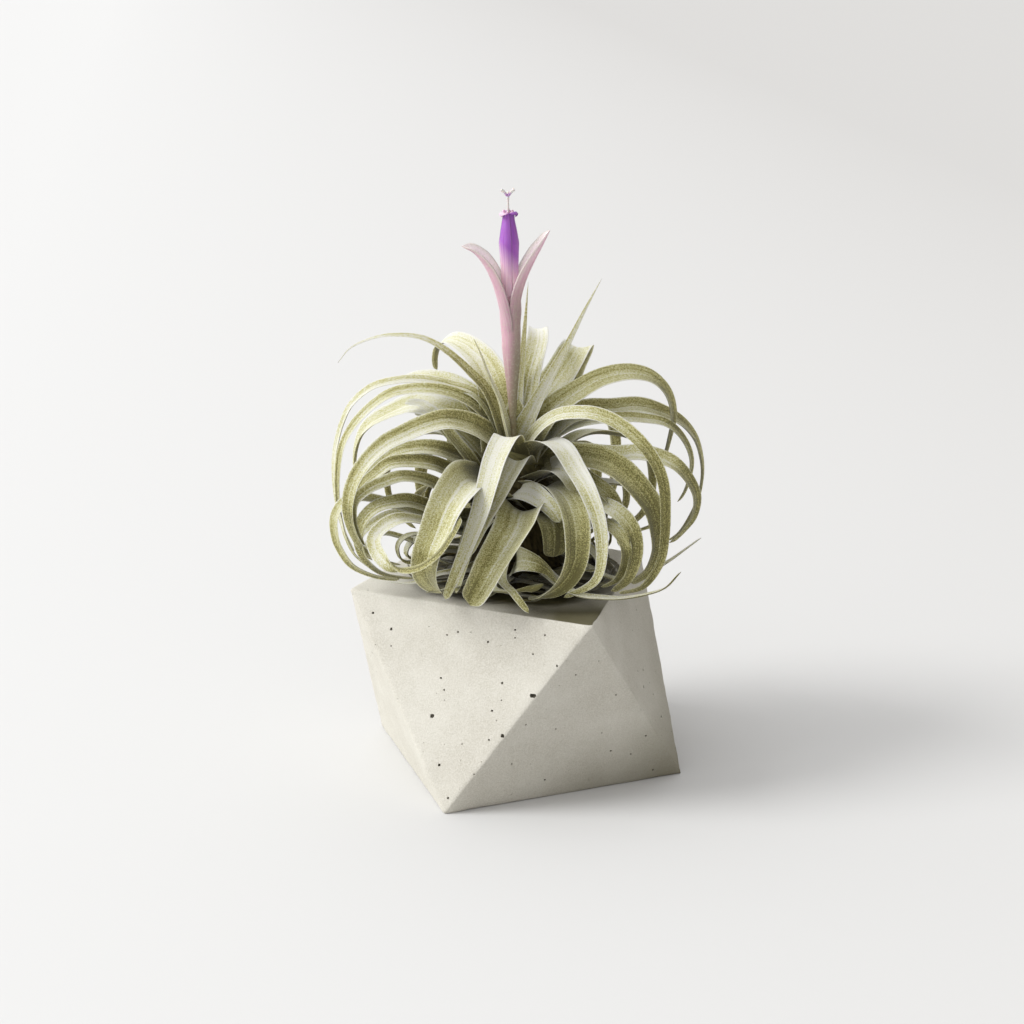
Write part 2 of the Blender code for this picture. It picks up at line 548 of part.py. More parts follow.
def main():
    remove_everything()
    pot = make_pot()
    shade(pot, 20)
    axis = flower_axis()
    rosette = make_rosette()
    cut_scape_hole(rosette, axis.matrix_world.copy())
    shade(rosette, 60)
    for piece in (make_scape(), make_corolla(), make_stamens(), make_style()):
        piece.parent = axis
        shade(piece, 50)


main()
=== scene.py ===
"""A curly-leaved air plant in bloom, seated in a faceted concrete pot.

The file follows the object from the pot up: pot, stem, leaves, flower stalk, petals, anthers and style,
then the floor, the light and the camera. Sizes are in mm until they go into a mesh; materials read metres.
"""

import math
from functools import partial

import bpy
import numpy as np
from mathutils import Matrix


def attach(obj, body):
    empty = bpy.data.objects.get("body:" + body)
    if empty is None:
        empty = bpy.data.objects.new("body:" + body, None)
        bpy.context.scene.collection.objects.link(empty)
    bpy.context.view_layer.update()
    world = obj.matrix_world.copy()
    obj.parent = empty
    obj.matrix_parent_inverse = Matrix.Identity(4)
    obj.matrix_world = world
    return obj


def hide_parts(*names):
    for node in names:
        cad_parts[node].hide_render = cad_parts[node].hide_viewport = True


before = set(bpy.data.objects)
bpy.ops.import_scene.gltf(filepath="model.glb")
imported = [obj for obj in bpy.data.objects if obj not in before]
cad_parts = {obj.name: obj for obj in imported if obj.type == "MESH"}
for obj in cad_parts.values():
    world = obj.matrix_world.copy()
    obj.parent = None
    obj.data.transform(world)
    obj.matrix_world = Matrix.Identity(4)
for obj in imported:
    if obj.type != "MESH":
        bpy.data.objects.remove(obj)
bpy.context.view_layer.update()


# The pot is cast in one piece from pale concrete in a faceted mould: a four-sided top, turned against the
# four-sided base, with eight flat triangles between them. Its edges are slightly worn, and air bubbles in
# the mix left small round pits.

POT_HEIGHT = 80.0
POT_BASE_CORNERS = ((74.8, 243.1), (69.4, 337.8), (74.8, 63.1), (69.4, 157.8))  # distances and headings
POT_TOP_CORNERS = ((76.1, 196.3), (69.7, 290.8), (56.4, 29.4), (68.5, 119.9))
POT_RINGS = 46  # from the base to the top
POT_STEPS = 16  # from each slanting edge to the next
UNDER_RINGS = (0.2, 0.5, 0.8, 0.92, 0.97, 0.99, 0.997)  # as shares of the base
TOP_RINGS = 14  # from the outer edge to the well
EDGE_WEAR = 0.35
WEAR_STEPS = 10
FACE_WAVES = 0.05
WELL_X, WELL_RADIUS, WELL_DEPTH, WELL_RIM = -6.0, 20.0, 28.0, 1.2
WELL_FLOOR_RINGS = (0.8, 0.4, 0.1)
SEEN_PITS = (
    (-32.8, -43.5, 68.1, 0.54), (-28.3, -44.9, 69.9, 0.48), (-16.2, -51.0, 67.9, 0.54),
    (-5.4, -53.7, 74.0, 0.48), (-5.4, -54.8, 71.0, 0.42), (6.4, -59.1, 73.8, 0.48),
    (-10.6, -58.6, 53.3, 0.6), (-33.9, -50.3, 47.1, 0.48), (-35.2, -48.2, 51.4, 0.48),
    (-38.8, -51.8, 36.4, 0.96), (-14.6, -60.7, 42.2, 0.54), (-15.8, -64.0, 31.1, 0.54),
    (-26.6, -60.3, 27.8, 0.48), (-35.9, -59.4, 18.3, 0.6), (-32.3, -65.2, 6.5, 0.54),
    (-63.4, -28.4, 72.1, 0.54), (-55.8, -33.6, 67.0, 0.6), (-55.8, -35.8, 60.5, 0.48),
    (-62.5, -33.1, 59.9, 0.42), (-68.9, -22.6, 80.0, 0.42), (-65.6, -22.6, 80.0, 0.42),
    (-53.3, -43.9, 40.6, 0.48), (1.7, -59.7, 66.0, 0.42), (1.7, -65.1, 50.4, 1.32),
    (11.1, -65.0, 63.0, 0.6), (-10.4, -65.6, 33.5, 0.84), (-21.8, -66.2, 17.0, 0.66),
    (-1.0, -63.8, 37.5, 0.48), (11.0, -57.6, 33.2, 0.48), (29.9, -48.2, 27.5, 0.48),
    (48.4, -39.1, 22.4, 0.48), (33.9, -43.8, 17.7, 0.54), (42.3, -39.4, 14.5, 0.48),
    (-6.6, -61.0, 19.4, 0.54), (6.8, -52.4, 8.7, 0.48), (52.0, -32.5, 4.4, 0.48),
    (18.7, -61.4, 57.8, 0.48), (27.9, -59.0, 62.8, 0.42), (35.2, -51.0, 45.2, 0.48),
    (45.0, -32.2, 48.2, 0.54),
)
PIT_SEED = 12
OTHER_PITS = 300
LEAST_PIT, SMALL_PIT, PIT_SPREAD = 0.22, 0.36, 0.5
PIT_GAP = 3
PIT_SHADE_DEPTH = 0.1  # below the skin, where the painted shade of the pits and the well starts


def corner_points(corners, height):
    """Corners given as (distance, heading), as points at one height."""
    distance, heading = np.array(corners).T
    turn = np.radians(heading)
    return np.stack([distance * np.cos(turn), distance * np.sin(turn), np.full(4, height)], axis=1)


def pot_corners():
    """The corners of the base and of the top."""
    return corner_points(POT_BASE_CORNERS, 0), corner_points(POT_TOP_CORNERS, POT_HEIGHT)


def slanting_edges():
    """The lower and upper ends of the eight edges between base and top, in their order round the pot."""
    base, top = pot_corners()
    return np.repeat(base, 2, axis=0), np.roll(np.repeat(top, 2, axis=0), -1, axis=0)


def pot_planes():
    """Unit normals n and offsets h of the ten faces: a point p is inside where n.p < h for all of them."""
    base, top = pot_corners()
    base_next, top_next = np.roll(base, -1, axis=0), np.roll(top, -1, axis=0)
    normals = np.concatenate([np.cross(top_next - base, top - base),
                              np.cross(base_next - base, top_next - base)])
    normals /= np.linalg.norm(normals, axis=1)[:, None]
    heights = (normals * np.tile(base, (2, 1))).sum(axis=1)
    normals[heights < 0] *= -1
    return np.vstack([normals, (0, 0, 1), (0, 0, -1)]), np.append(np.abs(heights), (POT_HEIGHT, 0))


def ripple(points, size, seed):
    """Unevenness from about -1 to 1: a sum of nine sine waves near the given length, seeded in direction."""
    chance = np.random.default_rng(seed)
    waves = chance.normal(size=(points.shape[-1], 9))
    waves *= 2 * math.pi / size * chance.uniform(0.6, 1.5, 9) / np.linalg.norm(waves, axis=0)
    return 0.3 * np.sin(points @ waves + chance.uniform(0, 6.3, 9)).sum(axis=-1)


def outside_by(points, softness):
    """How far points lie outside the worn pot, softness * log(sum(exp((n.p - h) / softness))) over its faces,
    and the slope of that: the mean of the normals n, weighted by the same powers."""
    normals, heights = pot_planes()
    powers = np.exp((points @ normals.T - heights) / softness[..., None])
    return softness * np.log(powers.sum(axis=-1)), powers @ normals / powers.sum(axis=-1)[..., None]


def worn(points):
    """Points of the sharp pot drawn towards its middle until outside_by is zero, by Newton's steps."""
    middle = np.array([0, 0, POT_HEIGHT / 2])
    softness = EDGE_WEAR * (1 + 0.45 * ripple(points, 9, 1) + 0.25 * ripple(points, 3, 2)).clip(0.35, 2)
    ray = points - middle
    share = np.ones(points.shape[:-1])
    for _ in range(WEAR_STEPS):
        value, slope = outside_by(middle + share[..., None] * ray, softness)
        share -= value / (slope * ray).sum(axis=-1)
    return middle + share[..., None] * ray


def eased(places):
    """Shares from 0 to 1 that crowd towards both ends: (1 - cos(pi t)) / 2."""
    return (1 - np.cos(np.pi * places)) / 2


def pot_rings():
    """The pot's skin as rings from the middle of its underside, up its sides and down into the well.

    A side ring at share s joins the points (1 - s) base + s top of the slanting edges by straight lines.
    The rim of the well is a quarter circle turned about the well's line.
    """
    low, high = slanting_edges()
    s = eased(np.linspace(0, 1, POT_RINGS))
    posts = (1 - s)[:, None, None] * low + s[:, None, None] * high
    f = eased(np.arange(POT_STEPS) / POT_STEPS)[:, None]
    sides = (posts[:, :, None] * (1 - f) + np.roll(posts, -1, axis=1)[:, :, None] * f).reshape(len(s), -1, 3)
    under = sides[0] * np.array(UNDER_RINGS)[:, None, None]
    middle = np.array([WELL_X, 0, POT_HEIGHT])
    outward = sides[-1] - middle
    outward /= np.linalg.norm(outward, axis=1)[:, None]
    g = eased(np.linspace(0, 1, TOP_RINGS))[1:-1, None, None]
    above = (1 - g) * sides[-1] + g * (middle + (WELL_RADIUS + WELL_RIM) * outward)
    turn = np.radians(np.linspace(0, 90, 5))[:, None, None]
    down = np.array([0, 0, 1])
    bend = (middle + (WELL_RADIUS + WELL_RIM - WELL_RIM * np.sin(turn)) * outward
            - WELL_RIM * (1 - np.cos(turn)) * down)
    wall = middle + WELL_RADIUS * outward - np.linspace(WELL_RIM, WELL_DEPTH, 9)[1:, None, None] * down
    floor = middle - WELL_DEPTH * down + WELL_RADIUS * np.array(WELL_FLOOR_RINGS)[:, None, None] * outward
    skin = worn(np.concatenate([under, sides, above]))
    inner = np.concatenate([bend, wall, floor])
    grain = FACE_WAVES * ripple(np.concatenate([skin, inner]), 16, 3)
    skin += grain[:len(skin), :, None] * outside_by(skin, np.full(skin.shape[:-1], EDGE_WEAR))[1]
    return np.concatenate([skin, inner])


def stacked(*values):
    """Values that belong to the same points, such as x, y and z, as one array with these last."""
    return np.stack(np.broadcast_arrays(*values), axis=-1)


def bubble_rings(middles, radii, chance):
    """Uneven balls as closed rings: spheres of latitude and longitude, dented and stretched by chance."""
    up = np.linspace(-1, 1, 7)[1:-1] * math.pi / 2.3
    turn = np.arange(8) * math.pi / 4
    sphere = stacked(np.cos(up)[:, None] * np.cos(turn), np.cos(up)[:, None] * np.sin(turn),
                     np.sin(up)[:, None])
    stretch = chance.uniform(0.75, 1.3, (len(radii), 1, 1, 3)) * np.array(radii)[:, None, None, None]
    dent = 1 + 0.12 * chance.normal(size=(len(radii), *sphere.shape[:2], 1)).clip(-1.5, 1.5)
    return np.array(middles)[:, None, None] + sphere * dent * stretch


def new_piece(name, parts, material, smooth=True):
    """A mesh object from closed skins, each given as rings (ring, place in it, xyz) in mm and its marks.

    Neighbouring rings are joined by quads and the first and last ring are closed, all facing outwards. Marks
    are None, or up to five values for each point, kept as attributes a to e.
    """
    faces, first = [], 0
    for rings, _ in parts:
        rows, around = rings.shape[:2]
        index = first + np.arange(rows * around).reshape(rows, around)
        after = np.roll(index, -1, axis=1)
        quads = np.stack([index[:-1], after[:-1], after[1:], index[1:]], axis=-1).reshape(-1, 4)
        flat = rings.reshape(-1, 3)
        a, b, c, d = (flat[quads[:, k] - first] for k in range(4))
        volume = (np.cross(c - a, d - b) * (a + b + c + d - 4 * flat.mean(axis=0))).sum()
        if volume < 0:
            quads, index = quads[:, ::-1], index[:, ::-1]
        faces += quads.tolist() + [index[0, ::-1].tolist(), index[-1].tolist()]
        first += rows * around
    mesh = bpy.data.meshes.new(name)
    mesh.from_pydata(0.001 * np.concatenate([rings.reshape(-1, 3) for rings, _ in parts]), [], faces)
    if parts[0][1] is not None:
        values = np.concatenate([marks.reshape(-1, marks.shape[-1]) for _, marks in parts])
        for letter, column in zip("abcde", values.T):
            mark = mesh.attributes.new(letter, "FLOAT", "POINT")
            mark.data.foreach_set("value", np.ascontiguousarray(column))
    mesh.materials.append(material)
    mesh.polygons.foreach_set("use_smooth", np.full(len(mesh.polygons), smooth))
    mesh.update()
    piece = bpy.data.objects.new(name, mesh)
    bpy.context.scene.collection.objects.link(piece)
    return piece


def linear(code, alpha=1.0):
    """An sRGB hex colour as linear light: ((c + 0.055) / 1.055) ** 2.4, or c / 12.92 below 0.04045."""
    c = np.array([int(code[k:k + 2], 16) for k in (1, 3, 5)]) / 255
    return (*np.where(c < 0.04045, c / 12.92, ((c + 0.055) / 1.055) ** 2.4).tolist(), alpha)


def fill(node, inputs):
    """Gives each named or numbered input of a node its value, or its link from another node's output."""
    for place, value in inputs.items():
        if isinstance(value, bpy.types.NodeSocket):
            node.id_data.links.new(value, node.inputs[place])
        else:
            node.inputs[place].default_value = value


def add_node(tree, kind, *inputs, output=0, **settings):
    """Adds a node with its settings and inputs, and returns one of its outputs.

    The inputs are given in turn, or some of them by name or number. MapRange takes a value, its range, and
    what the ends of that become, else 0 and 1. Mix takes a share as 0 and colours as 6 and 7.
    """
    node = tree.nodes.new("ShaderNode" + kind)
    for setting, value in settings.items():
        setattr(node, setting, value)
    for place, value in enumerate(inputs):
        fill(node, value if isinstance(value, dict) else {place: value})
    return node.outputs[output]


def new_material(name, roughness, specular, **values):
    """A Principled material with plain values on its own sockets: what adds a node to it, the object's own
    coordinates in metres, and what finishes it."""
    material = bpy.data.materials.new(name)
    material.use_nodes = True
    shader = material.node_tree.nodes["Principled BSDF"]
    fill(shader, {"Roughness": roughness, "Specular IOR Level": specular})
    fill(shader, {socket.replace("_", " "): value for socket, value in values.items()})
    add = partial(add_node, material.node_tree)
    return add, add("TexCoord", output="Object"), partial(finished, material, shader, add)


def finished(material, shader, add, colour, height=0, strength=0, depth=0):
    """The material with its colour, and the relief of a height that is worth the given depth in metres."""
    fill(shader, {"Base Color": colour})
    if strength:
        relief = {"Height": height, "Strength": strength, "Distance": depth}
        fill(shader, {"Normal": add("Bump", relief, output="Normal")})
    return material


def lumps(add, where, size, detail, low, high):
    """Lumps of about the given size in mm: a noise whose range from low to high is spread over 0 to 1."""
    noise = add("TexNoise", {"Vector": where, "Scale": 1000 / size, "Detail": detail})
    return add("MapRange", noise, low, high)


def layered(add, colour, layers):
    """A colour with others laid over it in turn, each by its share from 0 to 1."""
    for share, code in layers:
        colour = add("Mix", {0: share, 6: colour, 7: linear(code)}, output=2, data_type="RGBA")
    return colour


def cast_concrete():
    """Cast concrete, white cement and fine sand, unsealed: quite matt, with cloudy patches and a fine grain.

    The sand is 0.2 to 0.5 mm, which is drawn at 0.6 mm to show. Pits and the well are painted darker with
    their depth below the skin, as painted shade. The right-hand faces are painted darker and warmer, most at
    the foot, as painted shade. A painted shadow of the plant darkens the top round the stem, and most at the
    right front.
    """
    add, where, finish = new_material("cast concrete", 0.92, 0.25)
    x, y, z = (add("SeparateXYZ", where, output=axis) for axis in range(3))
    clouds = lumps(add, where, 30, 4, 0.36, 0.64)
    patches = add("Math", lumps(add, where, 7, 3, 0.35, 0.65), 0.25, operation="MULTIPLY")
    sand = lumps(add, where, 0.6, 2, 0.34, 0.66)
    grains = add("Math", sand, 0.5, operation="MULTIPLY")
    # painted shade: the right-hand faces are darker and warmer, most at the foot
    foot = add("Math", add("MapRange", z, 0, 0.032, 0.5, 0), add("MapRange", x, -0.01, 0.03),
               operation="MULTIPLY")
    painted_right_shade = add("Math", foot, add("MapRange", x, 0.036, 0.056, 0, 0.24))
    # painted shadow of the plant on the top of the pot: the right front, and a ring round the stem
    ahead = add("Math", add("MapRange", y, -0.05, -0.01, 1, 0), add("MapRange", x, -0.024, 0.012, 0, 0.94),
                operation="MULTIPLY")
    stem_foot = (0.001 * WELL_X, 0, 0.001 * POT_HEIGHT)
    off_stem = add("VectorMath", where, stem_foot, output="Value", operation="DISTANCE")
    on_top = add("Math", ahead, add("MapRange", off_stem, 0.034, 0.047, 0.9, 0))
    painted_plant_shadow = add("Math", add("MapRange", z, 0.0796, 0.0798), on_top, operation="MULTIPLY")
    # painted shade: pits and the well get darker with their depth below the skin
    painted_pit_shade = add("MapRange", add("Attribute", output="Fac", attribute_name="a"), 0.08, 0.3, 0, 0.92)
    colour = layered(add, linear("#BCB8AC"), (
        (clouds, "#C9C6BB"), (patches, "#B0AC9E"), (grains, "#DAD7CE"), (painted_right_shade, "#666046"), (painted_plant_shadow, "#4A4528"),
        (painted_pit_shade, "#3E392C")))
    return finish(colour, add("Math", sand, 0.6, patches, operation="MULTIPLY_ADD"), 0.5, 0.0002)


def pit_places():
    """The pits seen from the front and more on all faces, as centres and radii, none near another.

    Of the others only the small ones lie on the faces that are seen. The draws go on in what cuts them.
    """
    chance = np.random.default_rng(PIT_SEED)
    low, high = slanting_edges()
    side = chance.integers(0, 8, OTHER_PITS)
    s, f = chance.uniform(0.02, 0.98, OTHER_PITS)[:, None], chance.uniform(0, 1, OTHER_PITS)[:, None]
    post = (1 - s) * low[side] + s * high[side]
    after = (1 - s) * low[(side + 1) % 8] + s * high[(side + 1) % 8]
    radius = LEAST_PIT + PIT_SPREAD * chance.power(0.35, OTHER_PITS)
    kept = list(SEEN_PITS)
    for place in np.column_stack([post + f * (after - post), radius]):
        seen_side = place[1] < -15 and abs(math.atan2(place[1], place[0]) + 1.75) < 1.0
        clear = min(math.dist(place[:3], other[:3]) for other in kept) > PIT_GAP
        if clear and (not seen_side or place[3] < SMALL_PIT):
            kept.append(tuple(place))
    return np.array(kept), chance


def cast_pot():
    """The worn pot with its pits cut out, and the depth of each point below the outer skin as attribute a."""
    material = cast_concrete()
    pot = new_piece("faceted_pot", [(pot_rings(), None)], material)
    places, chance = pit_places()
    balls = bubble_rings(places[:, :3], places[:, 3], chance)
    bubbles = new_piece("bubbles", [(ball, None) for ball in balls], material)
    cut = pot.modifiers.new("pits", "BOOLEAN")
    cut.operation, cut.solver, cut.object = "DIFFERENCE", "MANIFOLD", bubbles
    evaluated = pot.evaluated_get(bpy.context.evaluated_depsgraph_get())
    cleft = bpy.data.meshes.new_from_object(evaluated)
    pot.modifiers.clear()
    pot.data = cleft
    bpy.data.objects.remove(bubbles)
    points = np.empty(3 * len(cleft.vertices))
    cleft.vertices.foreach_get("co", points)
    depth = -outside_by(1000 * points.reshape(-1, 3), np.full(len(cleft.vertices), EDGE_WEAR))[0] - PIT_SHADE_DEPTH
    cleft.attributes.new("a", "FLOAT", "POINT").data.foreach_set("value", depth.clip(0, 1))
    cleft.set_sharp_from_angle(angle=math.radians(35))
    return pot


pot = cast_pot()
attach(pot, "root")
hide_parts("pot")


# The plant has no roots in the pot: its short stem, wrapped in the dry brown bases of old leaves, is simply
# stood in the well.

STEM_X = -6.0
STEM_PROFILE = (  # radii and heights
    (16.7, 52.3), (19.7, 58.3), (19.7, 80.4), (26.5, 81), (26, 86), (21, 93), (19, 106), (17, 119), (13, 130),
    (8, 135), (1.8, 138.2))
STEM_RINGS = 200
SHEATH_HEIGHT, SHEATHS_ROUND = 6.0, 5
SHEATH_DEPTH = 0.1  # as a share of the radius


def along_profile(profile, rings):
    """The radii and heights of rings at even steps through a profile's points, as columns."""
    radius, height = np.array(profile, float).T
    gone, place = np.linspace(0, len(radius) - 1, rings)[:, None], np.arange(len(radius))
    return np.interp(gone, place, radius), np.interp(gone, place, height)


def stem_rings():
    """A profile turned about the stem's line. Above the pot its radius is r (1 - 0.1 saw) - 0.2, where saw
    rises from 0 to 1 over each overlapping sheath, along the height and round the stem."""
    r, z = along_profile(STEM_PROFILE, STEM_RINGS)
    turn = np.radians(np.arange(0, 360, 5))
    saw = (z / SHEATH_HEIGHT + SHEATHS_ROUND * turn / (2 * math.pi)) % 1
    above = z > POT_HEIGHT
    r = r * (1 - SHEATH_DEPTH * saw * above) - 0.2 * above
    return stacked(STEM_X + r * np.cos(turn), r * np.sin(turn), z)


def dry_sheath():
    """Dead leaf bases: papery and dull, dark brown between the living leaves, greener under the crown, with
    upright streaks about 1.6 mm wide. The dark brown is partly their own colour and partly painted shade
    for the gaps between the leaves."""
    add, where, finish = new_material("dry sheath", 0.85, 0.2)
    upright = add("Mapping", {"Vector": where, "Scale": (1, 1, 0.12)})
    streaks = add("TexNoise", {"Vector": upright, "Scale": 1000 / 1.6, "Detail": 3})
    height = add("SeparateXYZ", where, output=2)
    # partly painted shade: the dark brown base also stands for the shade between the leaves
    colour = layered(add, linear("#292414"), (
        (add("MapRange", streaks, 0.35, 0.65), "#4C4327"),
        (add("MapRange", height, 0.126, 0.138), "#8B885C")))
    return finish(colour, streaks, 0.6, 0.0004)


stem = new_piece("stem", [(stem_rings(), None)], dry_sheath())
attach(stem, "root")
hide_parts("leaf_rosette")


# The leaves grow in a spiral from the stem. Each is a fleshy strap with raised edges and a fold along its
# middle, arched up and out and curled under at its tip, and coated with minute silver scales.

LEAF_RINGS_EVERY = 1.2
LEAF_PLACES = 17  # across each of its two skins
LEAF_THICKNESS = 1.1
LEAF_RIDGE = 0.13
SHEATH_SHARE = 0.3  # how much broader a leaf is at its root
SHEATH_LENGTH = 18.0
TIP_LENGTH = 3.2
LIT_SIDE = (-0.5, 0.2, 0.84)  # painted light: leaves are painted paler where they face this way, towards the window
HEAD_REACH = ((84, 100, 120, 135, 150, 165), (60, 72, 72, 62, 45, 20))  # heights, and reach at them
HEAD_REACH_AHEAD = ((84, 100, 120, 135, 142), (56, 57, 46, 26, 12))

# Rows: width, height of the raised edges as a share of it, roll at the root and at the tip, the tip's width
# as a share, and the way from root to tip
YOUNG_LEAVES = (
    (8, 0.2, 50, 50, 0.03, ((-6, 0, 134), (4, 2, 154), (10, 4, 165), (16, 6, 176), (23, 8, 190),
     (30, 10, 203))),
    (7, 0.2, 30, 30, 0.03, ((-6, 3, 134), (-4, 6, 157), (-2, 7, 176), (0, 8, 202))),
    (8, 0.2, -40, -40, 0.03, ((-7, -2, 134), (-10, -4, 147), (-12, -6, 156), (-16, -7, 166),
     (-19, -8, 175), (-22, -8, 182))),
)
UPRIGHT_LEAVES = (
    (12, 0.2, 0, 0, 0.3, ((-5, 2, 134), (0, 8, 161), (4, 16, 175), (4, 26, 178), (4, 40, 173),
     (4, 55, 159), (3, 60, 144))),
    (18, 0.2, 5, 5, 0.4, ((-6, 0, 128), (4, 8, 148), (13, 17, 159), (20, 25, 169), (21, 33, 168),
     (19, 42, 159), (17, 50, 146))),
    (19, 0.2, -20, -30, 0.2, ((-8, 0, 134), (-13, 8, 155), (-18, 18, 165), (-25, 28, 170), (-32, 38, 171),
     (-37, 46, 167), (-39, 50, 161), (-39, 52, 155))),
    (15, 0.2, -35, -30, 0.12, ((-8, 1, 134), (-20, 8, 150), (-30, 16, 157), (-41, 24, 159),
     (-49, 30, 157.5), (-57, 35, 153))),
    (15, 0.2, -40, -30, 0.35, ((-8, 1, 128), (-20, 4, 139), (-29, 6, 145), (-36, 9, 147.5), (-42, 14, 148),
     (-48, 20, 147), (-54, 25, 144), (-59, 28, 141), (-64, 30, 138), (-68, 31, 134.5), (-71, 31, 130),
     (-73, 30, 122), (-73, 28, 112))),
)
RIGHT_LEAVES = (
    (12, 0.2, 45, 30, 0.32, ((-4, 1, 130), (9, 3, 148), (24, 7, 158), (33, 8, 162), (42, 10, 163),
     (50, 12, 161), (56, 13, 156), (59, 14, 150), (60, 14, 143), (59, 14, 136), (57, 14, 127),
     (53, 12, 118))),
    (13, 0.2, 40, 20, 0.25, ((-4, 1, 128), (13, 6, 144), (25, 10, 147), (35, 13, 147), (46, 17, 147),
     (55, 20, 144), (64, 23, 139), (70, 25, 132), (73, 26, 124), (74, 26, 116), (73, 26, 107),
     (70, 25, 99), (65, 23, 91), (60, 22, 87))),
    (8, 0.2, 35, 30, 0.35, ((-3, 0, 132), (19, 4, 143), (38, 6, 145), (49, 8, 144), (57, 9, 142),
     (63, 10, 137), (67, 10, 130), (68, 10, 123), (66, 10, 114), (63, 10, 108))),
    (12, 0.2, 35, 30, 0.3, ((-3, 0, 123), (19, -1, 130), (35, -2, 131), (46, -3, 132), (55, -3, 130),
     (61, -4, 127), (66, -4, 121), (69, -4, 114), (68, -4, 106), (64, -4, 100), (59, -3, 94))),
    (7.5, 0.2, 45, 55, 0.3, ((-5, -1, 124), (2, -5, 140), (11, -11, 150), (22, -16, 153), (31, -19, 152),
     (39, -22, 148), (46, -25, 142), (51, -26, 135), (54, -27, 127), (55, -27, 118), (55, -28, 105),
     (53, -32, 95), (46, -40, 88), (36, -46, 87))),
    (16, 0.2, 40, 30, 0.3, ((-4, -1, 120), (9, -4, 129), (21, -6, 131), (29, -9, 131), (37, -13, 128),
     (44, -17, 122), (50, -20, 114), (52, -23, 106), (52, -25, 98), (48, -29, 91), (41, -33, 87))),
    (12, 0.2, 35, 25, 0.3, ((-3, -2, 118), (13, -8, 127), (25, -13, 123), (33, -17, 118), (37, -20, 109),
     (37, -22, 99))),
    (11, 0.2, 30, 25, 0.3, ((-2, -3, 106), (15, -12, 114), (27, -18, 115), (35, -24, 114), (41, -29, 109),
     (43, -33, 102), (42, -37, 96), (39, -41, 91), (33, -44, 87))),
    (9, 0.2, 20, 20, 0.3, ((-2, -4, 96), (27, -20, 107), (35, -28, 107), (39, -36, 101), (36, -40, 92),
     (29, -42, 88))),
    (7, 0.2, 0, 0, 0.15, ((-4, -2, 98), (19, -14, 90), (33, -25, 86), (45, -20, 84), (58, -5, 86),
     (66, 3, 89), (73, 7, 93))),
)
